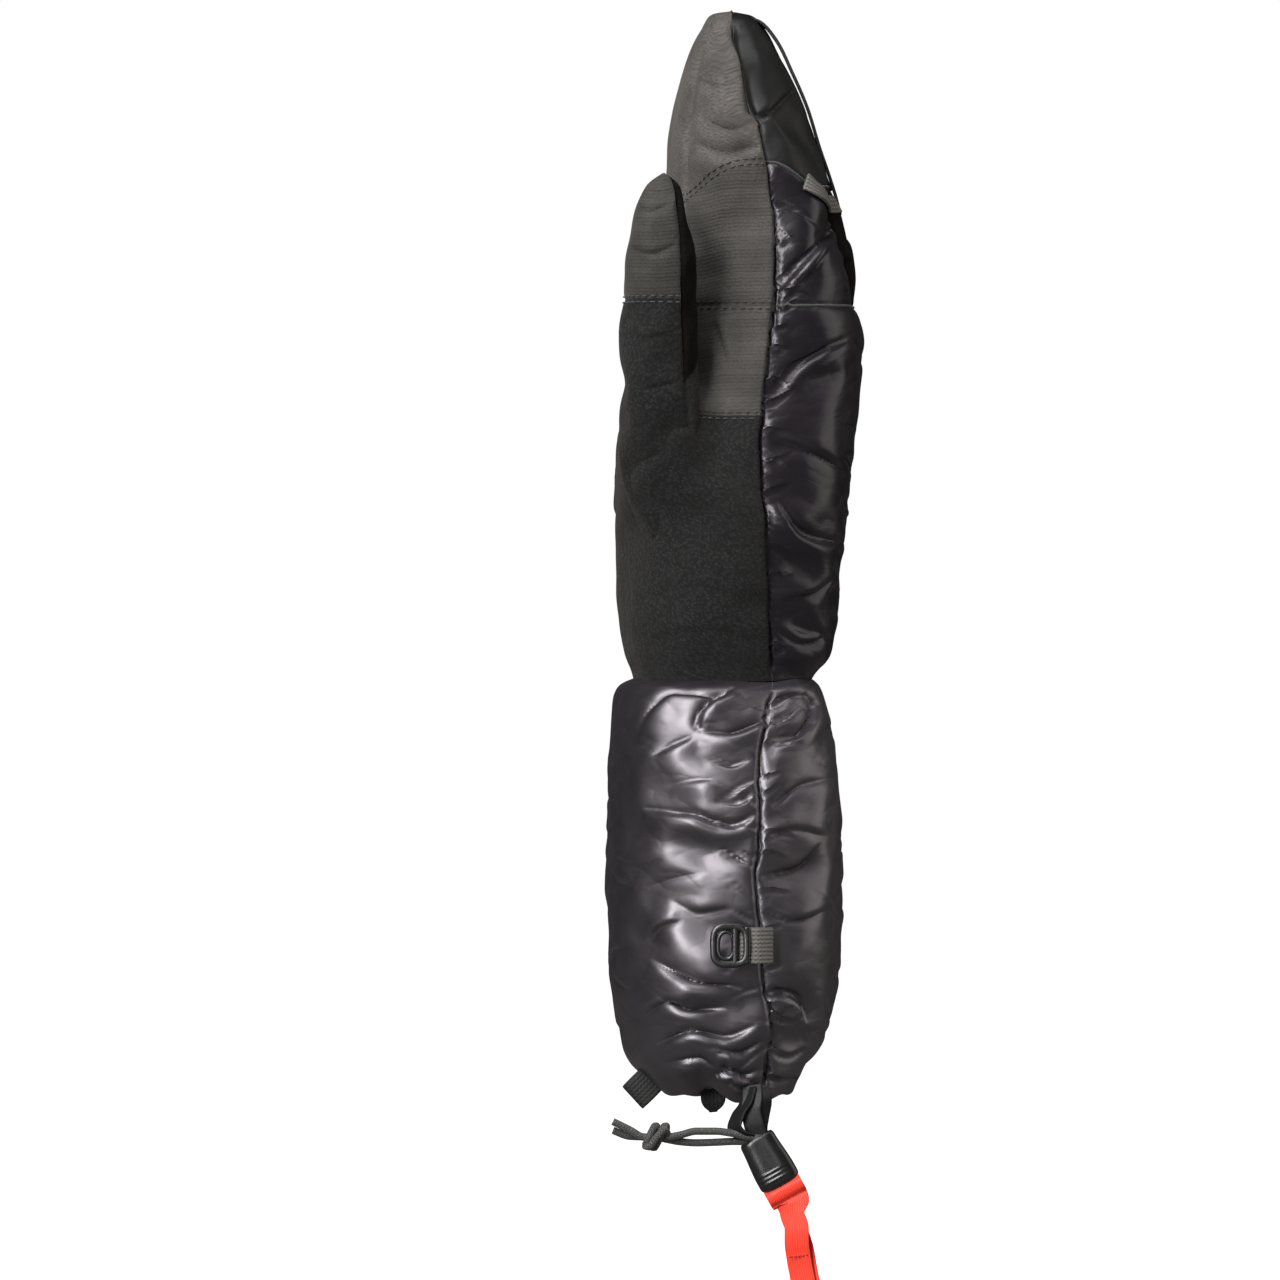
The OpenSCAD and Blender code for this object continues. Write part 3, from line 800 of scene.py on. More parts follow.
# Name: material slot, look, CAD nodes.
THUMB_PANELS = {
    "thumb_suede_front": ("suede", "suede",
                          ("thumb_suede_panel", "thumb_down_fill", "thumb_lining")),
    "thumb_ripstop_tip": ("ripstop", "ripstop", ("thumb_front_panel",)),
    # The gusset takes the near-black softshell: painted shade for the dark recess between thumb and
    # hand.
    "thumb_gusset_softshell": ("ripstop", "dark_softshell_and_painted_shade", ("thumb_side_gusset",)),
}
THUMB_FOLDS = [
    ([(-35, 270), (-28, 266), (-16, 269)], 0.8, 2.0),
    ([(-38, 287), (-30, 284), (-20, 286)], 0.8, 1.6),
    ([(-37, 318), (-28, 315), (-18, 319)], 0.9, 1.8),
    ([(-34, 333), (-28, 331), (-20, 334)], 0.7, 1.4),
]


def build_thumb():
    """Panels of the thumb: ripstop tip, suede front and a softshell side facing the hand."""
    v = rows_between([THUMB_ROOT_Z, THUMB_STITCH_Z, THUMB_TIP_Z], 2.4)
    near = 360 - angle_of_share(0.68)
    flat = np.ones_like(v)
    angles = spread([128 * flat, near * flat, 488 * flat], THUMB_COLUMNS)
    vv = np.repeat(v[:, None], angles.shape[1], 1)
    p = squared_ring(*section_at(vv, THUMB), angles, vv)
    held = np.zeros(p.shape[:2])
    held[:, [0, THUMB_COLUMNS[0]]] = 1
    held[:6] = 1
    held[-1] = 1
    held[nearest(v, THUMB_STITCH_Z)] = 1
    loose = np.full(p.shape[:2], 0.35)
    loose[v > THUMB_STITCH_Z] = 0.5
    settled = wrinkle(p, held, loose, pressure=0.4, swell=4.0, travel_mm=2.5, calm=4)
    fine = crease(finer_columns(finer_rows(finer_rows(settled))), THUMB_FOLDS)
    stitch_row = 4 * nearest(v, THUMB_STITCH_Z)
    split = 2 * THUMB_COLUMNS[0]
    sheet = Sheet(seam_dress(
        fine, [0, split], [(stitch_row, (0, split))], [(225, 343), (225, 343)],
        [(0.8, 0.4), (0.4, 0.8)],
        depth=0.8, pucker=0.1, pitch=3.1, seed=21,
    ))
    f_rows, f_cols = sheet.faces.shape[:2]
    mask = np.zeros((3, f_rows, f_cols), bool)
    gusset_row = 4 * nearest(v, GUSSET_Z)
    mask[0, :stitch_row, :split] = True
    mask[1, stitch_row:, :split] = True
    row_pitch = (v[-1] - v[0]) / (4 * (len(v) - 1))
    arch = GUSSET_RISE * np.sin(np.pi * np.linspace(0, 1, f_cols - split)) / row_pitch
    above = np.arange(f_rows)[:, None] >= gusset_row + arch.astype(int)
    mask[0, :, split:] = ~above
    mask[2, :, split:] = above
    pieces = {name: sheet.panel(name, mask[k]) for k, name in enumerate(THUMB_PANELS)}
    return pieces, sheet, stitch_row, split


# ---------- Gauntlet ----------

# Columns of the palm half and of the back half.
GAUNTLET_COLUMNS = (60, 56)
# Name: CAD nodes.
CUFF_PANELS = {
    "gauntlet_palm_nylon": ("gauntlet_palm_panel", "gauntlet_down_fill", "hem_facing"),
    "gauntlet_back_nylon": ("gauntlet_back_panel",),
}
GAUNTLET_FOLDS = [
    ([(0, 151), (-19, 153), (-28, 147), (-33, 138)], 2.6, 2.0),
    ([(3, 155), (-6, 149), (-10.5, 142), (-9, 138)], 2.8, 1.7),
    ([(18, 145), (10, 141), (0, 138), (-9, 139)], 2.4, 1.9),
    ([(-12, 137), (-20, 134), (-27, 129)], 1.6, 2.0),
    ([(29, 153), (33, 148), (31, 142), (26, 137), (17, 135)], 3.2, 1.7),
    ([(28, 148), (24, 144), (18, 142)], 1.8, 1.2),
    ([(18, 149), (25, 152), (31, 152)], 1.4, 1.3),
    ([(7, 102), (-5, 105), (-13, 108), (-31, 110)], 2.8, 2.0),
    ([(12, 109), (4, 104), (-3, 103)], 1.4, 1.4),
    ([(-42, 92), (-32, 88), (-24, 91)], 0.8, 2.2),
    ([(11, 88), (4, 91), (-3, 96)], 1.3, 1.6),
    ([(-20, 76), (-10, 71), (2, 73)], 0.8, 2.6),
    ([(7, 43), (-10, 45), (-28, 54)], 2.6, 2.0),
    ([(-29, 60), (-24, 66), (-17, 68)], 1.2, 1.6),
    ([(0, 36), (-13, 35), (-24, 40)], 2.0, 1.7),
    ([(-30, 33), (-22, 38), (-14, 36)], 1.3, 1.5),
    ([(12, 30), (0, 25), (-12, 27), (-26, 22)], 2.2, 1.7),
    ([(14, 24), (5, 19), (-6, 22)], 1.5, 1.4),
    ([(-4, 13), (-10, 17), (-22, 15)], 1.2, 1.5),
    ([(10, 8), (2, 12), (-6, 10)], 1.6, 1.3),
    ([(40, 121), (29, 118), (18, 110)], 1.6, 2.4),
    ([(15, 98), (26, 102), (38, 99)], 1.4, 2.2),
    ([(14, 84), (26, 87), (36, 97)], 1.9, 2.2),
    ([(15, 72), (26, 68), (40, 73)], 1.6, 2.0),
    ([(31, 30), (29, 37), (22, 41), (15, 40)], 3.0, 1.8),
    ([(17, 33), (24, 30), (30, 33)], 1.4, 1.4),
    ([(17, 20), (24, 17), (31, 20)], 1.2, 1.6),
    ([(16, 9), (22, 8), (28, 9)], 1.4, 1.1),
    ([(13, 13), (6, 10), (-2, 14)], 1.5, 1.2),
    ([(13, 8), (7, 6), (0, 9)], 1.3, 1.1),
    ([(-3, 24), (-1, 15), (4, 6)], 1.6, 1.4),
    ([(2, 118), (-8, 121), (-22, 118)], 0.9, 2.4),
    ([(-8, 86), (-18, 84), (-30, 80)], 0.8, 2.6),
    ([(8, 128), (2, 126), (-6, 129)], 1.2, 1.4),
    ([(10, 116), (4, 112), (-4, 113)], 1.3, 1.3),
]


def build_gauntlet():
    """Two nylon panels of the cuff, from inside the hem up to the wrist seam."""
    stations = np.array(GAUNTLET[::-1], float)
    z, palm, back, near, far = stations.T
    radius = (back - palm + far - near) / 4
    s = np.concatenate([[0], np.cumsum(np.hypot(np.diff(z), np.diff(radius)))])
    t = np.linspace(0, s[-1], int(round(s[-1] / ROW_SPACING)) + 1)
    z, palm, back, near, far = (smooth(t, list(zip(s, k))) for k in (z, palm, back, near, far))
    cx, cy, rx, ry = (palm + back) / 2, (near + far) / 2, (back - palm) / 2, (far - near) / 2
    share = np.clip((smooth(z, GAUNTLET_SEAM) - cx) / rx, -0.9, 0.9)
    seam = angle_of_share(share)
    angles = spread([seam, 360 - seam, 360 + seam], GAUNTLET_COLUMNS)
    a = np.radians(angles)
    lift = 6.5 * step(110, 180, angles) * (1 - step(180, 250, angles))
    lift += 6.5 * np.exp(-(((angles - 262) / 9) ** 2))
    lift += 7.0 * np.exp(-((((angles + 180) % 360 - 180) / 26) ** 2))
    lift += 1.2 * np.sin(a * 5) + 0.8 * np.sin(a * 9 + 1)
    low = 1 - step(4, 46, z)
    section = [k[:, None] for k in (cx, cy, rx, ry)]
    p = squared_ring(*section, angles, z[:, None] + lift * low[:, None])
    hem = int(np.argmin(z))
    held = np.zeros(p.shape[:2])
    held[:hem + 1] = 1
    held[hem + 1:hem + 5] = np.linspace(0.8, 0.1, 4)[:, None]
    held[-1] = 1
    held[:, [0, GAUNTLET_COLUMNS[0]]] = 1
    loose = np.ones(p.shape[:2])
    settled = wrinkle(p, held, loose, pressure=0.6, swell=5.0, travel_mm=4.0, calm=5)
    fine = finer_columns(finer_rows(finer_rows(settled)))
    gathers = seam_gathers(41, GAUNTLET_SEAM, 12, 150, 10, 11, 0.6)
    fine = crease(fine, GAUNTLET_FOLDS + gathers)
    fine = crease(fine, scattered_folds(42, 26, (-30, 30), (14, 146), (16, 36)) + gathers, 1, 1)
    for seed, sign in ((43, 1), (44, -1)):
        folds = scattered_folds(seed, 22, (-36, 36), (14, 146), (18, 40), (0.3, 1.0))
        fine = crease(fine, folds, 0, sign)
    split = 2 * GAUNTLET_COLUMNS[0]
    sheet = Sheet(seam_dress(
        fine, [0, split], [], [(5, 153), (5, 153)], [(2.6, 2.6), (0.5, 2.9)],
        depth=1.3, pucker=0.07, pitch=3.4, seed=11,
    ))
    mask = np.zeros(sheet.faces.shape[:2], bool)
    mask[:, :split] = True
    pieces = {name: sheet.panel(name, half) for name, half in zip(CUFF_PANELS, (mask, ~mask))}
    return pieces, sheet, split


# Power of the sections inside the cuff, which are a little rounder than its outside.
INNER_POWER = 0.83


def build_lining():
    """The fleece sleeve seen up the open cuff, closed where the hand begins."""
    low, high = 6, 150
    z = np.linspace(low, high, 37)[:, None]
    t = (z - low) / (high - low)
    rx = np.interp(t, [0, 0.12, 0.8, 1], [23.6, 31, 30, 20])
    ry = np.interp(t, [0, 0.12, 0.8, 1], [42.4, 51, 48, 30])
    p = squared_ring(-0.4, -0.5, rx, ry, np.arange(0, 360, 4.5), z, INNER_POWER)
    p += grid_normals(p) * (waves(p, 26, 5) * 0.9)[..., None]
    p = p[:, ::-1]
    top = p[-1].mean(0)
    closing = [top + (p[-1] - top) * k + np.array([0, 0, 6 * (1 - k)]) for k in (0.75, 0.4, 0.1)]
    p = np.concatenate([p, np.array(closing)])
    rows, cols = p.shape[:2]
    faces = quads(rows, cols).reshape(-1, 4).tolist()
    faces.append([(rows - 1) * cols + i for i in range(cols)])
    return new_mesh("fleece_sleeve", p.reshape(-1, 3), faces, p.reshape(-1, 3)[:, 1:])


# ---------- Straps, cords and plastic ----------

def joint_place(name):
    return np.array(JOINTS[name]["pos_m"], float) / MM


def joint_axis(name):
    return np.array(JOINTS[name]["axis"], float)


LOCK_MOUTH = joint_place("lock_swing")
LOCK_DOWN = joint_axis("plunger_pull")
LOCK_SIDE = joint_axis("tab_swing")
LOCK_LENGTH = 19.5
BAR_DOWN = 23.4
# Where along the lock the red tab stops following the plunger and swings freely.
TAB_BEND_DOWN = (19.5, 31.0)
CORD_RADIUS = 1.4
# The buckle's middle, measured from its hinge.
BUCKLE_FROM_HINGE = (-6.5, 0, 0)


def lock_point(side, y, down):
    """A point in the cord lock's own axes: across it, along Y, and down its barrel."""
    return LOCK_MOUTH + LOCK_SIDE * side + np.array([0, y, 0]) + LOCK_DOWN * down


def build_lock():
    """The tapered barrel with a rounded nose, a mouth rim and three grip ribs."""
    t = np.concatenate([
        [0.0, 0.25, 0.7, 1.4], np.arange(2.2, LOCK_LENGTH - 2.4, 0.3),
        LOCK_LENGTH - np.array([2.2, 1.6, 1.0, 0.5, 0.2, 0.0]),
    ])
    width = 6.9 + 1.0 * step(0, 15, t)
    depth = 4.7 + 0.5 * step(0, 15, t)
    top = np.sqrt(np.clip(1 - np.clip((1.4 - t) / 1.6, 0, 1) ** 2, 0, 1))
    foot = np.sqrt(np.clip(1 - np.clip((t - LOCK_LENGTH + 2.2) / 2.6, 0, 1) ** 2, 0, 1))
    shrink = (0.9 + 0.1 * top) * (0.72 + 0.28 * foot)
    rib = sum(np.exp(-(((t - at) / 0.34) ** 2)) for at in (13.4, 15.0, 16.6))
    base = oval(1, 1, 56, 3.0)
    angle = np.arctan2(base[:, 1], base[:, 0])
    grip = np.exp(-((np.abs(angle) - 1.45) / 0.55) ** 2)
    rows = [
        base * np.array([w * k, d * k]) * (1 + 0.085 * r * grip)[:, None]
        for w, d, k, r in zip(width, depth, shrink, rib)
    ]
    path = np.array([lock_point(0, 0, d) for d in t])
    barrel = sweep("barrel", path, LOCK_SIDE, np.array(rows))
    rim_path = [
        lock_point(6.0 * math.cos(a), 3.9 * math.sin(a), 0.1)
        for a in np.arange(40) * math.pi / 20
    ]
    rim = sweep("rim", rim_path, LOCK_DOWN, oval(0.55, 0.55, 8), closed=True)
    return joined("cord_lock_barrel", [barrel, rim])


def build_stirrup():
    """The plunger's two arms, which slide in the barrel, and the bar that carries the tab."""
    parts = []
    for side in (-5.2, 5.2):
        run = along_path([lock_point(side, 0, down) for down in (9.0, BAR_DOWN)], 0.5)
        parts.append(sweep("arm", run, (0, 1, 0), oval(1.3, 0.85, 14, 3.5)))
    across = along_path([lock_point(side, 0, BAR_DOWN) for side in (-6.0, 6.0)], 0.5)
    parts.append(sweep("bar", across, (0, 1, 0), oval(1.3, 1.3, 16)))
    return joined("plunger_stirrup", parts)


def build_buckle():
    """A ladder buckle: a D-shaped frame, a middle bar and a bar held by its webbing tab."""
    centre = joint_place("buckle_flip") + np.array(BUCKLE_FROM_HINGE)
    outer = []
    for a in np.arange(72) * math.pi / 36:
        x = 6.2 * signed_power(math.cos(a), 0.55)
        z = 7.0 * signed_power(math.sin(a), 0.55)
        outer.append(centre + np.array([x, 0, z]))
    rim = sweep("rim", outer, (0, 1, 0), oval(1.15, 1.3, 12, 3.5), closed=True)
    window = []
    for a in np.arange(60) * math.pi / 30:
        x = 3.3 * math.cos(a) * (1.0 if math.cos(a) < 0 else 0.75) - 1.2
        window.append(centre + np.array([x, 0.25, 5.1 * signed_power(math.sin(a), 0.7)]))
    inner = sweep("window", window, (0, 1, 0), oval(0.8, 0.85, 10, 3.0), closed=True)
    bars = []
    for x, r in ((1.9, 1.15), (6.1, 1.2)):
        ends = [centre + np.array([x, -0.1, z]) for z in (-6.9, 6.9)]
        path = along_path(ends, 0.8)
        bars.append(sweep("bar", path, (1, 0, 0), oval(r, 1.0, 14, 2.8)))
    return joined("ladder_buckle_frame", [rim, inner] + bars)


def build_cords():
    """The elastic drawcord: two strands from the lock, knotted together, with cut tails."""
    upper = [(14.2, -13.0), (9, -12.2), (3, -10.9), (-4, -10.0), (-11, -10.0), (-17, -11.4),
             (-21.5, -12.2)]
    lower = [(14.2, -14.0), (9, -14.0), (3, -13.9), (-4, -14.2), (-11, -14.4), (-17, -14.0),
             (-21.5, -13.2)]
    through = [(-25, -12.5), (-30.5, -12.2)]
    tail_upper = [(-35.5, -9.6), (-42.0, -6.4)]
    tail_lower = [(-35.5, -12.0), (-42.0, -9.8)]
    parts = []
    for run, tail, side in ((upper, tail_upper, -1.5), (lower, tail_lower, 1.5)):
        strand = [(x, LOCK_MOUTH[1] + side, z) for x, z in run + through + tail]
        parts.append(cord("strand", strand, CORD_RADIUS))
    middle = np.array([-26.0, LOCK_MOUTH[1], -12.5])
    for phase, start in ((0.0, 3.4), (0.55, 1.9)):
        coil = []
        for t in np.linspace(0, 2 * math.pi * 1.35, 46):
            turn = t + phase * math.pi
            coil.append(middle + np.array([
                start - 3.6 * t / (2 * math.pi) + 1.3 * math.sin(turn),
                3.5 * math.cos(turn), 4.0 * math.sin(turn) + 0.4,
            ]))
        parts.append(cord("coil", coil, CORD_RADIUS, 0.5))
    over = [middle + np.array(d) for d in (
        (4.6, -1.0, 0.8), (3.2, -4.0, 3.0), (0.4, -5.2, 0.4), (-2.4, -4.4, -3.2),
        (-4.0, -1.6, -3.0),
    )]
    parts.append(cord("over", over, CORD_RADIUS, 0.5))
    return joined("knotted_drawcord", parts)


def build_pull_tab():
    """The red webbing tab: full width where it leaves the lock, then a narrower strip that
    hangs in an S with a stitched end and a second layer behind."""
    drop = [
        lock_point(0, -1.6, 17.8), lock_point(0, -2.6, 19.6), lock_point(0, -4.6, 21.2),
        lock_point(0, -4.2, 23.6), lock_point(0, -2.4, 25.4), lock_point(0, -3.0, 27.0),
        (24.6, -57.0, -40.4),
        (26.3, -57.4, -46.0), (26.3, -56.8, -51.0), (27.0, -55.4, -57.0), (28.3, -54.6, -64.0),
        (29.4, -54.4, -70.0), (31.4, -54.9, -77.6),
    ]
    path = along_path(drop, 0.7)
    wide, rows = [], []
    for point in path:
        t = float(step(0, 1, (-34.5 - point[2]) / 6.5))
        w = LOCK_SIDE * (1 - t) + np.array([-0.97, 0.2, -0.08]) * t
        wide.append(w / np.linalg.norm(w))
        rows.append(oval(7.4 - 2.8 * t, 0.5, 28, 7.0))
    front = sweep("front", path, wide, np.array(rows))
    back_fold = [
        lock_point(0, 1.6, 18.4), lock_point(0, 3.0, 22), lock_point(0, 2.4, 27),
        (25.6, -52.4, -44), (28.6, -52.2, -54), (30.2, -52.6, -63), (31.8, -53.1, -70),
        (34.2, -53.6, -77.4),
    ]
    back = tape("back", back_fold, (-0.94, 0.3, -0.15), 8.6, 0.9)
    end = along_path([(22.9, -56.9, -56.8), (31.0, -56.5, -55.8)], 0.4)
    up = np.repeat([[0.0, -1.0, 0.0]], len(end), 0)
    sewn = stitches("tab_stitching", end, up, pitch=1.6, length=1.2, radius=0.36)
    return joined("red_webbing_tab", [front, back]), sewn


def build_keeper(sheet, row, col):
    """The ribbed tape sewn across the back over the end of the hanging loop."""
    first, last = col[4] - 22, col[5] + 10
    line = sheet.p[row[CAP_Z] - 6, first:last]
    out = sheet.n[row[CAP_Z] - 6, first:last]
    t = np.linspace(-1, 1, len(line))
    line = line + out * (0.8 + 0.6 * np.exp(-((t / 0.4) ** 4)))[:, None]
    line[:, 2] += -3.5 + 4.5 * (1 - step(-1.0, -0.2, t)) + 1.5 * t * t
    path = along_path(line[::3], 0.7)
    mid = along(np.linspace(0, 1, len(path)), np.linspace(0, 1, len(out)), out)
    tangent = np.gradient(path, axis=0)
    wide = np.cross(mid, tangent)
    wide /= np.linalg.norm(wide, axis=1, keepdims=True)
    return sweep("loop_keeper", path, wide, oval(3.3, 0.55, 28, 7.0))


def build_hanging_loop():
    """The flat strap over the fingertips, with a second layer under it."""
    strap = [
        (8.6, 0, 405.6), (12.6, 0, 404.4), (18.9, 0, 397.8), (25.2, 0, 385.2), (31.0, 0, 371.6),
        (35.6, 0, 356.6), (38.9, 0, 347), (41.6, 0, 338.4), (43.2, 0, 332),
    ]
    under = [(30.0, 0, 369.4), (33.0, 0, 361), (36.4, 0, 350), (39.8, 0, 341)]
    return joined("hanging_loop", [
        tape("outer", strap, (0, 1, 0), 15, 1.1), tape("inner", under, (0, 1, 0), 14, 0.8),
    ])


def build_buckle_tab():
    """The webbing that comes out of the side seam and holds the buckle's bar."""
    z = joint_place("buckle_flip")[2]
    run = [(17.2, -61.6), (14.2, -64.6), (11.2, -66.2), (7.6, -66.3), (4.4, -65.9)]
    points = [(x, y, z) for x, y in run]
    return tape("buckle_webbing_tab", points, (0, 0, 1), 13.4, 1.2, 0.5)


def build_anchor_tape():
    """The crumpled tape that hangs out of the hem and goes into the cord lock."""
    anchor = [(9.6, -50.6, 7), (9.9, -53.3, 2.5), (9.3, -54.6, -2), (10.2, -54.9, -7),
              (11.6, -54.4, -11.4), (12.6, -54, -15)]
    second = [(14.2, -50.8, 6), (14.4, -53.0, 1), (13.4, -52.6, -5), (12.8, -52.8, -9),
              (12.9, -53.2, -14)]
    third = [(9, -51, 6), (7.4, -54, 0.5), (4.6, -55.4, -4.0), (3.2, -55.8, -8.4),
             (5.4, -55.6, -11.2), (9.6, -54.6, -12.6)]
    return joined("lock_anchor_tape", [
        tape("a", anchor, (0.96, -0.1, 0.25), 7.4, 1.0, 0.5),
        tape("b", second, (0.9, 0.3, 0.2), 5.6, 1.0, 0.5),
        tape("c", third, (0.75, -0.6, 0.25), 6.4, 1.0, 0.5),
    ])


def build_small_loop():
    """The narrow pull loop: tape that hangs out of the hem, rounds off and goes up again."""
    centre, drop, half_width = (-4.6, -30, 8), 11.2, 4.5
    spread_to = np.array([0.26, 2.47, 0])
    points = []
    for t in np.linspace(0, 1, 15):
        a = math.pi * t
        bulge = 1.0 if 0.2 < t < 0.8 else 0.86
        fall = np.array([0, 0, drop * math.sin(a) ** 0.8])
        points.append(np.array(centre) - fall + spread_to * math.cos(a) * bulge)
    inside = np.array([0, 0, 4.0])
    path = along_path([points[0] + inside] + points + [points[-1] + inside], 0.6)
    above = (path[:, 2] - path[:, 2].min()) / 5.0
    narrow = np.sqrt(np.clip(1 - np.clip(1 - above, 0, 1) ** 2, 0.12, 1))
    flat = oval(half_width, 0.6, 28, 7.0)
    rows = [flat * np.array([k, 1.0]) for k in narrow]
    return sweep("pull_loop_small", path, (0.98, -0.1, 0.1), np.array(rows))


def build_wide_loop():
    """The flat pull loop on the palm side of the hem."""
    run = [(-21, -20, 15), (-26, -20.4, 10), (-31.5, -20.2, 4.4), (-34.4, -19, 1.7),
           (-33.8, -17.4, 2.4), (-29, -16.6, 7.2), (-22, -16, 14)]
    return tape("pull_loop_wide", run, (0.67, 0.0, -0.74), 11.3, 1.2, 0.6)


def build_cord_ring():
    """The drawcord's run inside the hem."""
    ring = squared_ring(-1.4, -0.4, 26.5, 45.3, np.arange(0, 360, 3.6), 12.5, INNER_POWER)
    return sweep("hem_cord_ring", ring, (0, 0, 1), oval(1.5, 1.5, 10), closed=True)


# ---------- Materials ----------

class Graph:
    """A small helper for building one node material."""

    def __init__(self, name):
        self.material = bpy.data.materials.new(name)
        self.material.use_nodes = True
        self.tree = self.material.node_tree
        self.bsdf = self.tree.nodes["Principled BSDF"]
        self.uv = self.add("ShaderNodeUVMap", uv_map="mm").outputs[0]
        self.place = self.add("ShaderNodeTexCoord").outputs["Object"]
        self.normal = None

    def add(self, kind, inputs=None, **settings):
        node = self.tree.nodes.new(kind)
        for key, value in settings.items():
            setattr(node, key, value)
        for key, value in (inputs or {}).items():
            self.plug(value, node.inputs[key])
        return node

    def plug(self, value, socket):
        if isinstance(value, bpy.types.NodeSocket):
            self.tree.links.new(value, socket)
        elif isinstance(value, (tuple, list)) and socket.type == "RGBA":
            socket.default_value = tuple(value) + (1.0,) * (4 - len(value))
        else:
            socket.default_value = value

    def math(self, operation, a, b=0.0):
        return self.add("ShaderNodeMath", {0: a, 1: b}, operation=operation).outputs[0]

    def total(self, *terms):
        """The sum of (value, weight) pairs."""
        parts = [self.math("MULTIPLY", value, weight) for value, weight in terms]
        level = parts[0]
        for part in parts[1:]:
            level = self.math("ADD", level, part)
        return level

    def noise(self, size_mm, detail=3.0, roughness=0.55, stretch=(1, 1, 1), where=None):
        """Noise whose blobs are about size_mm across; 0 to 1."""
        if where is None:
            scale = tuple(1.0 / (size_mm * MM * s) for s in stretch)
            vector = self.place
        else:
            scale = tuple(1.0 / (size_mm * s) for s in stretch)
            vector = where
        mapped = self.add("ShaderNodeMapping", {"Vector": vector, "Scale": scale}).outputs[0]
        return self.add("ShaderNodeTexNoise", {
            "Vector": mapped, "Scale": 1.0, "Detail": detail, "Roughness": roughness,
        }).outputs["Fac"]

    def split_uv(self):
        parts = self.add("ShaderNodeSeparateXYZ", {0: self.uv})
        return parts.outputs[0], parts.outputs[1]

    def ribs(self, coordinate, pitch_mm, wobble=None, amount=0.0):
        """Rounded ribs across a coordinate in mm; 0 in the grooves and 1 on the crowns."""
        if wobble is not None:
            coordinate = self.math("ADD", coordinate, self.math("MULTIPLY", wobble, amount))
        angle = self.math("MULTIPLY", coordinate, math.pi / pitch_mm)
        return self.math("ABSOLUTE", self.math("SINE", angle))

    def mix(self, factor, a, b):
        node = self.add("ShaderNodeMix", data_type="RGBA")
        self.plug(factor, node.inputs[0])
        self.plug(a, node.inputs[6])
        self.plug(b, node.inputs[7])
        return node.outputs[2]

    def remap(self, value, lo, hi, out_lo=0.0, out_hi=1.0):
        return self.add("ShaderNodeMapRange", {
            "Value": value, "From Min": lo, "From Max": hi, "To Min": out_lo, "To Max": out_hi,
        }).outputs[0]

    def bump(self, height, depth_mm, strength=1.0):
        """Adds a bump layer on top of those already there."""
        inputs = {"Strength": strength, "Distance": depth_mm * MM, "Height": height}
        if self.normal is not None:
            inputs["Normal"] = self.normal
        self.normal = self.add("ShaderNodeBump", inputs).outputs[0]

    def finish(self, **values):
        for key, value in values.items():
            self.plug(value, self.bsdf.inputs[key.replace("_", " ")])
        if self.normal is not None:
            self.plug(self.normal, self.bsdf.inputs["Normal"])
        return self.material


def weave_height(g, u, v, pitch):
    a = g.math("SINE", g.math("MULTIPLY", u, math.pi / pitch))
    b = g.math("SINE", g.math("MULTIPLY", v, math.pi / pitch))
    product = g.math("MULTIPLY", a, b)
    return g.math("ADD", g.math("MULTIPLY", product, 0.5), 0.5)


def shiny_nylon(name, tint, rough, gloss, coat_rough):
    """Calendered down-proof nylon: satin, fine weave, small crinkles and scuffed folds."""
    g = Graph(name)
    u, v = g.split_uv()
    fine = g.noise(1.2, 2, where=g.uv)
    light = tuple(c * 1.5 for c in tint)
    colour = g.mix(g.remap(g.noise(34, 2), 0.35, 0.65), tint, light)
    colour = g.mix(g.remap(fine, 0.55, 0.8, 0, 0.3), colour, tuple(c * 2.2 for c in tint))
    for size, depth in ((19, 0.75), (9, 0.28)):
        blobs = g.noise(size, 1, 0.4, (1.9, 0.9, 1), g.uv)
        valley = g.math("ABSOLUTE", g.math("SUBTRACT", blobs, 0.5))
        g.bump(g.math("MINIMUM", g.math("MULTIPLY", valley, 5.0), 1.0), depth, 0.45)
    g.bump(g.noise(2.6, 2, 0.5, where=g.uv, stretch=(1.5, 0.8, 1)), 0.05, 0.4)
    g.bump(weave_height(g, u, v, 0.55), 0.03, 0.25)
    spread_of_rough = g.remap(g.noise(7, 3, where=g.uv), 0.3, 0.7, rough, rough + 0.08)
    return g.finish(
        Base_Color=colour, Roughness=spread_of_rough, IOR=1.55, Specular_IOR_Level=gloss,
        Specular_Tint=(1.0, 0.93, 1.0), Coat_Weight=0.25 * gloss, Coat_Roughness=coat_rough,
        Coat_IOR=1.5,
    )


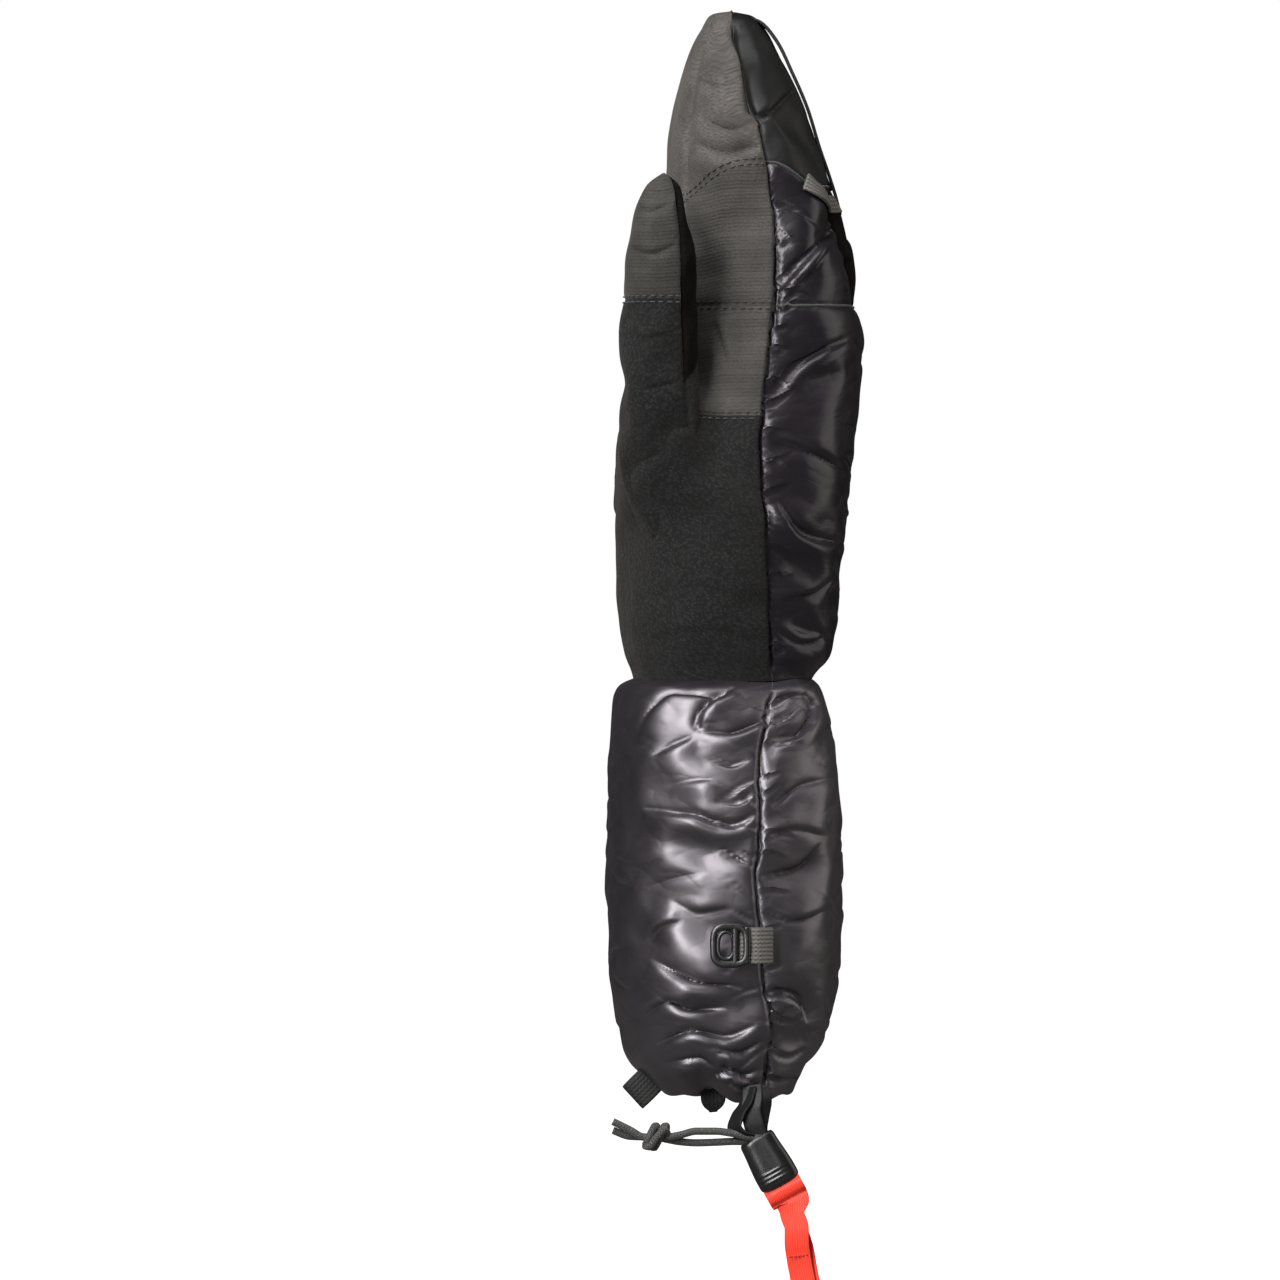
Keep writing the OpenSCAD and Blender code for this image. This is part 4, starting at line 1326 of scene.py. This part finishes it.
def ripstop(name, pale):
    """Brushed stretch ripstop: fine cross ribs with a heavier thread every few."""
    g = Graph(name)
    u, v = g.split_uv()
    wobble = g.noise(22, 1, where=g.uv)
    rib = g.ribs(v, 1.3, wobble, 0.3)
    heavy = g.math("POWER", g.ribs(v, 5.2, wobble, 0.3), 14.0)
    up = g.math("POWER", g.ribs(u, 5.6, wobble, 0.4), 18.0)
    twill = g.ribs(g.total((u, 1.0), (v, 1.7)), 1.05)
    fuzz = g.noise(0.8, 2, where=g.uv)
    # pale scales the colours; above 1 it gives a paler copy that paints in light.
    base = tuple(pale * c for c in (0.016, 0.0147, 0.0136))
    lift = tuple(pale * c for c in (0.074, 0.068, 0.062))
    level = g.total((rib, 0.13), (fuzz, 0.8), (heavy, 0.09))
    colour = g.mix(g.remap(level, 0.2, 1.1), base, lift)
    colour = g.mix(g.remap(g.noise(24, 3), 0.45, 0.7, 0, 0.5), colour, base)
    g.bump(g.noise(11, 3, where=g.uv), 0.7, 0.35)
    g.bump(rib, 0.10, 0.8)
    g.bump(g.math("ADD", heavy, up), 0.07, 0.6)
    g.bump(g.total((twill, 0.5), (fuzz, 1.0)), 0.10, 0.5)
    return g.finish(Base_Color=colour, Roughness=0.82, Specular_IOR_Level=0.3,
                    Sheen_Weight=0.14, Sheen_Roughness=0.45, Sheen_Tint=(0.62, 0.57, 0.53))


def twill_softshell(name, pale):
    """Warm grey softshell with a faint slanting twill and a brushed face."""
    g = Graph(name)
    u, v = g.split_uv()
    wobble = g.noise(18, 1, where=g.uv)
    twill = g.ribs(g.total((v, 1.0), (u, 0.28)), 0.95, wobble, 1.0)
    fuzz = g.noise(0.9, 3, where=g.uv, stretch=(1.8, 0.7, 1))
    level = g.total((twill, 0.1), (fuzz, 0.9))
    # pale scales the colours; the near-black copy is the tongue's dark cloth and painted shade on
    # the thumb's gusset.
    base = tuple(pale * c for c in (0.024, 0.022, 0.0203))
    lift = tuple(pale * c for c in (0.150, 0.137, 0.125))
    colour = g.mix(g.remap(level, 0.25, 0.85), base, lift)
    colour = g.mix(g.remap(g.noise(17, 3), 0.42, 0.68, 0, 0.6), colour, base)
    g.bump(g.noise(12, 3, where=g.uv), 0.9, 0.4)
    g.bump(twill, 0.03, 0.6)
    g.bump(fuzz, 0.16, 0.6)
    gloss = 0.28 * min(1.0, 2 * pale)
    return g.finish(Base_Color=colour, Roughness=0.85, Specular_IOR_Level=gloss,
                    Sheen_Weight=0.12 * pale, Sheen_Roughness=0.5, Sheen_Tint=(0.66, 0.6, 0.55))


def satin_cap(name):
    """The smooth near-black cap: a soft leather-like sheen with a fine grain."""
    g = Graph(name)
    grain = g.noise(0.7, 3, where=g.uv)
    patch = g.remap(g.noise(14, 2), 0.35, 0.7)
    colour = g.mix(patch, (0.0032, 0.0032, 0.0034), (0.0065, 0.0064, 0.0065))
    g.bump(g.noise(15, 2, where=g.uv), 1.0, 0.35)
    g.bump(grain, 0.05, 0.6)
    rough = g.remap(grain, 0.3, 0.7, 0.46, 0.58)
    return g.finish(Base_Color=colour, Roughness=rough, Specular_IOR_Level=0.3)


def suede(name):
    """Near-black pebbled suede: clustered nap bumps, a little greyer on the crowns."""
    g = Graph(name)
    cells = g.add("ShaderNodeTexVoronoi", {
        "Vector": g.add("ShaderNodeMapping", {"Vector": g.uv, "Scale": (0.95, 0.95, 1)}).outputs[0],
        "Scale": 1.0, "Randomness": 1.0,
    }, feature="F1").outputs["Distance"]
    nap = g.noise(1.1, 4, 0.7, where=g.uv)
    patch = g.noise(22, 3)
    crown = g.math("MULTIPLY", g.math("SUBTRACT", 1.0, cells), nap)
    colour = g.mix(g.remap(crown, 0.2, 0.62), (0.0070, 0.0069, 0.0070), (0.0310, 0.0302, 0.0302))
    colour = g.mix(g.remap(patch, 0.4, 0.75, 0, 0.5), colour, (0.012, 0.0115, 0.011))
    g.bump(g.noise(13, 2), 1.6, 0.5)
    g.bump(g.noise(4.5, 3), 0.9, 0.6)
    g.bump(g.noise(2.2, 3), 0.5, 0.6)
    g.bump(crown, 0.5, 0.9)
    g.bump(g.noise(0.5, 2, where=g.uv), 0.08, 0.6)
    return g.finish(Base_Color=colour, Roughness=0.95, Specular_IOR_Level=0.18,
                    Sheen_Weight=0.08, Sheen_Roughness=0.6, Sheen_Tint=(0.5, 0.47, 0.45))


def webbing(name, dark, light, rough=0.62, sheen=0.06, pitch=1.5, relief=1.0):
    """Woven tape: ribs along its length, crossed by picks, with fuzzed threads."""
    g = Graph(name)
    u, v = g.split_uv()
    warp = g.ribs(u, pitch)
    pick = weave_height(g, u, v, pitch * 0.55)
    fuzz = g.noise(0.6, 3, where=g.uv)
    level = g.total((warp, 0.45), (pick, 0.35), (fuzz, 0.35))
    colour = g.mix(g.remap(level, 0.25, 1.0), dark, light)
    g.bump(warp, 0.16 * relief, 0.8)
    g.bump(pick, 0.12 * relief, 0.7)
    g.bump(fuzz, 0.05, 0.5)
    return g.finish(Base_Color=colour, Roughness=rough, Specular_IOR_Level=0.3,
                    Sheen_Weight=sheen, Sheen_Roughness=0.4)


def braided_cord(name):
    """Shock cord: a braided sleeve with pale tracer flecks."""
    g = Graph(name)
    u, v = g.split_uv()
    one = g.ribs(g.math("ADD", u, v), 1.1)
    two = g.ribs(g.math("SUBTRACT", u, v), 1.1)
    braid = g.math("MAXIMUM", one, two)
    fleck = g.math("GREATER_THAN", g.noise(1.1, 1, where=g.uv), 0.66)
    colour = g.mix(g.remap(braid, 0.3, 1.0), (0.012, 0.012, 0.012), (0.055, 0.053, 0.052))
    colour = g.mix(g.math("MULTIPLY", fleck, 0.35), colour, (0.20, 0.195, 0.19))
    g.bump(braid, 0.3, 0.9)
    return g.finish(Base_Color=colour, Roughness=0.6, Specular_IOR_Level=0.4,
                    Sheen_Weight=0.2, Sheen_Roughness=0.4)


def moulded_plastic(name, base=(0.0075, 0.0078, 0.0082), rough=(0.24, 0.40)):
    """Injection-moulded black plastic: faint flow marks, fine texture and handling scuffs."""
    g = Graph(name)
    grain = g.noise(0.35, 2)
    scuff = g.noise(4, 4, 0.7, stretch=(1, 0.4, 2.5))
    colour = g.mix(g.remap(scuff, 0.58, 0.8, 0, 0.5), base, tuple(c * 3.2 for c in base))
    g.bump(grain, 0.02, 0.5)
    g.bump(g.noise(6, 2), 0.12, 0.3)
    return g.finish(Base_Color=colour, Roughness=g.remap(scuff, 0.35, 0.75, *rough),
                    Specular_IOR_Level=0.55)


def spring_steel(name):
    g = Graph(name)
    turning = g.noise(0.5, 2, stretch=(1, 1, 0.2))
    colour = g.mix(g.noise(2, 2), (0.42, 0.41, 0.40), (0.58, 0.57, 0.55))
    g.bump(turning, 0.02, 0.5)
    return g.finish(Base_Color=colour, Metallic=1.0, Roughness=0.32)


def fleece(name):
    """Brushed fleece: soft clumps of fibre with a strong sheen."""
    g = Graph(name)
    clump = g.noise(2.6, 5, 0.75)
    colour = g.mix(g.remap(clump, 0.35, 0.68), (0.014, 0.013, 0.0135), (0.052, 0.049, 0.049))
    g.bump(clump, 0.9, 0.9)
    g.bump(g.noise(0.6, 3), 0.2, 0.7)
    return g.finish(Base_Color=colour, Roughness=1.0, Specular_IOR_Level=0.1,
                    Sheen_Weight=0.6, Sheen_Roughness=0.55)


def thread(name, dark, light):
    """Sewing thread: a two-ply twist."""
    g = Graph(name)
    u, v = g.split_uv()
    twist = g.ribs(g.total((u, 0.35), (v, 1.0)), 0.45)
    colour = g.mix(twist, dark, light)
    g.bump(twist, 0.08, 0.8)
    return g.finish(Base_Color=colour, Roughness=0.55, Sheen_Weight=0.2)


def studio_paper(name):
    """The pale studio floor, barely mottled so that it isn't a flat value. It is seen white,
    gives back little light so that the black cloth keeps its depth, and is clear from below."""
    g = Graph(name)
    seen = g.add("ShaderNodeLightPath").outputs["Is Camera Ray"]
    pale = g.mix(g.noise(260, 2), (0.92, 0.92, 0.92), (0.96, 0.96, 0.96))
    colour = g.mix(seen, (0.15, 0.145, 0.14), pale)
    g.bump(g.noise(3, 2), 0.03, 0.2)
    from_below = g.add("ShaderNodeNewGeometry").outputs["Backfacing"]
    return g.finish(Base_Color=colour, Roughness=0.9, Specular_IOR_Level=0.1,
                    Alpha=g.math("SUBTRACT", 1.0, from_below),
                    Emission_Color=(1.0, 1.0, 1.0), Emission_Strength=seen)


def pale_room(name, glow):
    """A world that is seen white but only fills the shadows faintly."""
    world = bpy.data.worlds.new(name)
    world.use_nodes = True
    tree = world.node_tree
    seen = tree.nodes.new("ShaderNodeLightPath").outputs["Is Camera Ray"]
    level = tree.nodes.new("ShaderNodeMapRange")
    level.inputs["To Min"].default_value = glow
    tree.links.new(seen, level.inputs["Value"])
    back = tree.nodes["Background"]
    back.inputs["Color"].default_value = (1.0, 1.0, 1.0, 1.0)
    tree.links.new(level.outputs[0], back.inputs["Strength"])
    return world


def dress(obj, material):
    obj.data.materials.clear()
    obj.data.materials.append(material)


# ---------- Stage ----------

# Floor: height just under the red tab and half its width, in mm, and its grid.
FLOOR_Z = -79.0
FLOOR_HALF = 9000
FLOOR_LINES = 25
# Everything below is in metres, as lights and cameras are. Name: place, size, power, colour.
LIGHTS_AIM_AT = (0, 0, 0.17)
SOFTBOXES = {
    "key_left": ((-0.62, -1.25, 1.0), (0.6, 1.4), 41, (1, 1, 1)),
    "cuff_left": ((-0.62, -1.40, 0.10), (0.30, 0.45), 7, (1, 1, 1)),
    "rim_right": ((1.15, 0.10, 0.40), (0.9, 1.7), 6, (1.0, 0.95, 0.90)),
    "overhead": ((0.1, -0.5, 1.6), (1.0, 0.7), 9, (1, 1, 1)),
    "front_low": ((0.25, -1.7, 0.1), (0.3, 0.5), 1.2, (1, 1, 1)),
}
ROOM_GLOW = 0.038
CAMERA_PLACE = (-0.0319, -6.0, 0.1725)
CAMERA_LENS = 450.0


def build_floor():
    steps = np.linspace(-FLOOR_HALF, FLOOR_HALF, FLOOR_LINES)
    verts = [(x, y, FLOOR_Z) for y in steps for x in steps]
    faces = quads(FLOOR_LINES, FLOOR_LINES, wrap=False).reshape(-1, 4)
    floor = new_mesh("studio_floor", verts, faces, [(x, y) for x, y, _ in verts])
    dress(floor, studio_paper("studio_paper"))


def add_softbox(name, place, size, power, colour):
    light = bpy.data.lights.new(name, "AREA")
    light.shape = "RECTANGLE"
    light.size, light.size_y = size
    light.energy = power
    light.color = colour
    obj = bpy.data.objects.new(name, light)
    obj.location = place
    towards = Vector(LIGHTS_AIM_AT) - Vector(place)
    obj.rotation_euler = towards.to_track_quat("-Z", "Y").to_euler()
    bpy.context.scene.collection.objects.link(obj)


def add_camera():
    """A long lens, level, that looks along +Y at the thumb side."""
    camera = bpy.data.cameras.new("camera")
    camera.sensor_width = 36.0
    camera.lens = CAMERA_LENS
    camera.clip_end = 20
    obj = bpy.data.objects.new("camera", camera)
    obj.location = CAMERA_PLACE
    obj.rotation_euler = (math.pi / 2, 0, 0)
    bpy.context.scene.collection.objects.link(obj)
    bpy.context.scene.camera = obj


def build_stage():
    """A wide pale floor, soft lights, the pale room round them and the camera."""
    build_floor()
    for name, (place, size, power, colour) in SOFTBOXES.items():
        add_softbox(name, place, size, power, colour)
    bpy.context.scene.world = pale_room("pale_room", ROOM_GLOW)
    add_camera()
    bpy.context.scene.view_settings.view_transform = "Standard"


# ---------- Assembly ----------

# Joint crossings: first body, second body, and where the turn starts and ends, in mm.
BENDS = {
    "finger_bend": ("hand", "fingers", (0, 0, 262), (0, 0, 335)),
    "thumb_bend": ("hand", "thumb", (-25, -48, 226), (-25, -60, 268)),
    "wrist_bend": ("hand", "gauntlet", (0, 0, 157), (0, 0, 118)),
    "tape_bend": ("gauntlet", "cord_lock", (10.2, -54.5, -3.0), (10.8, -54.0, -11.0)),
    "tab_bend": ("plunger", "pull_tab", *(lock_point(0, 0, down) for down in TAB_BEND_DOWN)),
}


def bend(obj, crossing):
    """Bakes the piece's placement into its mesh. The joint crossing's bodies and turn are read but
    not used, so the piece follows neither body.
    """
    first, second, start, end = BENDS[crossing]
    start, end = (tuple(float(c) * MM for c in point) for point in (start, end))
    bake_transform(obj)


def finish_piece(obj, material, nodes=()):
    """Gives a piece its material and hides the CAD nodes it stands for."""
    dress(obj, material)
    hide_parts(*nodes)
    return obj


def make_materials():
    grey = (0.045, 0.040, 0.036), (0.16, 0.148, 0.135)
    black = (0.004, 0.004, 0.004), (0.020, 0.0195, 0.019)
    red = (0.72, 0.020, 0.012), (0.95, 0.075, 0.035)
    return {
        "nylon": shiny_nylon("aubergine_nylon", (0.0080, 0.0066, 0.0085), 0.31, 0.34, 0.17),
        "cuff_nylon": shiny_nylon("cuff_nylon", (0.0088, 0.0072, 0.0094), 0.41, 1.08, 0.28),
        "ripstop": ripstop("ribbed_ripstop", 0.97),
        # A paler copy of the ripstop: painted light on the thumb-side walls, which the thumb shades
        # from the key light.
        "ripstop_with_painted_light": ripstop("ripstop_with_painted_light", 1.5),
        "softshell": twill_softshell("grey_softshell", 0.88),
        # A near-black copy of the softshell: the tongue's own dark cloth, and painted shade on the
        # thumb's gusset, a recess between thumb and hand.
        "dark_softshell_and_painted_shade": twill_softshell("dark_softshell_and_painted_shade", 0.08),
        "cap": satin_cap("satin_cap"),
        "suede": suede("pebbled_suede"),
        "black_tape": webbing("black_webbing", *black, relief=0.7),
        "grey_tape": webbing("grey_webbing", *grey),
        "red_tape": webbing("red_webbing", *red, rough=0.5, sheen=0.2, pitch=0.9, relief=0.4),
        "elastic": braided_cord("shock_cord"),
        "plastic": moulded_plastic("buckle_plastic"),
        "lock_plastic": moulded_plastic("lock_plastic", (0.008, 0.008, 0.008), (0.22, 0.36)),
        "thread": thread("dark_thread", (0.008, 0.008, 0.008), (0.03, 0.029, 0.028)),
        "red_thread": thread("red_thread", (0.35, 0.008, 0.008), (0.6, 0.02, 0.015)),
        "fleece": fleece("lining_fleece"),
        "steel": spring_steel("spring_steel"),
    }


def seam_piping(name, lines, radii):
    """One object from thin rolled edges, each along a line of a sheet."""
    parts = [
        sweep("seam", points, normals, oval(radius, radius, 8))
        for (points, normals), radius in zip(lines, radii)
    ]
    return joined(name, parts)


def topstitching(name, lines):
    return joined(name, [stitches("thread", points, normals) for points, normals in lines])


def place_hand(looks):
    """Adds the hand and fingers. Returns their sheet with its seam rows and columns."""
    pieces, sheet, row, col = build_hand()
    for name, obj in pieces.items():
        slot, look, nodes = HAND_PANELS[name][4:]
        finish_piece(obj, looks[look], nodes)
        bend(obj, "finger_bend")
    lines = [
        sheet.line(column=col[column], rows=(start, None), lift=-0.35)
        for column, start in ((0, 0), (1, row[RIPSTOP_Z]), (2, row[RIPSTOP_Z]), (3, 0))
    ]
    lines += [
        sheet.line(row=row[height], columns=(col[3], col[6] + 1), lift=0.1)
        for height in (KNUCKLE_Z, CAP_Z)
    ]
    piping = seam_piping("hand_seam_piping", lines, [0.42] * 4 + [0.55] * 2)
    sewn_spans = ((KNUCKLE_Z, 0, 3), (CAP_Z, 0, 3), (RIPSTOP_Z, 2, 3), (RIPSTOP_Z, 0, 1))
    sewn = topstitching("hand_topstitching", [
        sheet.line(row=row[height] + offset, columns=(col[first] + 1, col[last]), lift=0.15)
        for height, first, last in sewn_spans for offset in STITCH_ROWS
    ])
    for obj in (piping, sewn):
        finish_piece(obj, looks["thread"])
        bend(obj, "finger_bend")
    return sheet, row, col


def place_thumb(looks):
    pieces, sheet, stitch_row, split = build_thumb()
    for name, obj in pieces.items():
        slot, look, nodes = THUMB_PANELS[name]
        finish_piece(obj, looks[look], nodes)
    lines = [sheet.line(column=column, rows=(40, None), lift=-0.3) for column in (0, split)]
    piping = seam_piping("thumb_seam_piping", lines, [0.4] * 2)
    sewn = topstitching("thumb_topstitching", [
        sheet.line(row=stitch_row + offset, columns=(2, split - 1), lift=0.15)
        for offset in STITCH_ROWS
    ])
    for obj in (piping, sewn):
        finish_piece(obj, looks["thread"])
    for obj in (*pieces.values(), piping, sewn):
        bend(obj, "thumb_bend")


def place_gauntlet(looks):
    """Adds the cuff's two panels, their seams and the fleece inside."""
    pieces, sheet, split = build_gauntlet()
    for name, obj in pieces.items():
        finish_piece(obj, looks["cuff_nylon"], CUFF_PANELS[name])
    lines = [sheet.line(column=column, rows=(24, None), lift=-0.4) for column in (0, split)]
    piping = seam_piping("gauntlet_seam_piping", lines, [0.45] * 2)
    finish_piece(piping, looks["thread"])
    sleeve = finish_piece(build_lining(), looks["fleece"], ("gauntlet_lining",))
    for obj in (*pieces.values(), piping, sleeve):
        bend(obj, "wrist_bend")


def place_hardware(looks, keeper):
    """Adds straps, loops, cords and plastic, each on its body or across a joint."""
    tab, tab_thread = build_pull_tab()
    # Piece, look, material slot, CAD nodes, and the body it rides on or the joint it crosses.
    plan = (
        (build_hanging_loop(), "black_tape", "black_webbing", ("hang_strap",), "fingers"),
        (keeper, "grey_tape", "grey_webbing", ("strap_end_tack",), "fingers"),
        (build_buckle_tab(), "grey_tape", "grey_webbing", ("buckle_tab",), "gauntlet"),
        (build_anchor_tape(), "cap", "black_webbing", ("lock_anchor_tab",), "tape_bend"),
        (build_wide_loop(), "black_tape", "black_webbing", ("pull_loop_palm",), "gauntlet"),
        (build_small_loop(), "black_tape", "black_webbing", ("pull_loop_centre",), "gauntlet"),
        (build_cord_ring(), "elastic", "shock_cord", ("hem_drawcord",), "gauntlet"),
        (build_lock(), "lock_plastic", "lock_plastic", ("lock_barrel",), "cord_lock"),
        (build_buckle(), "plastic", "buckle_plastic", ("ladder_buckle",), "buckle"),
        (build_cords(), "elastic", "shock_cord",
         ("drawcord_upper", "drawcord_lower", "stopper_knot"), "cord"),
        (tab, "red_tape", "red_webbing", ("red_pull_tab",), "tab_bend"),
        (tab_thread, "red_thread", "red_webbing", (), "pull_tab"),
        (build_stirrup(), "lock_plastic", "lock_plastic", ("lock_plunger",), "plunger"),
    )
    for obj, look, slot, nodes, follows in plan:
        finish_piece(obj, looks[look], nodes)
        if follows in BENDS:
            bend(obj, follows)
        else:
            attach(obj, follows)
    dress(frame["nodes"]["lock_spring"], looks["steel"])


def main():
    looks = make_materials()
    sheet, row, col = place_hand(looks)
    place_thumb(looks)
    place_gauntlet(looks)
    place_hardware(looks, build_keeper(sheet, row, col))
    build_stage()


main()
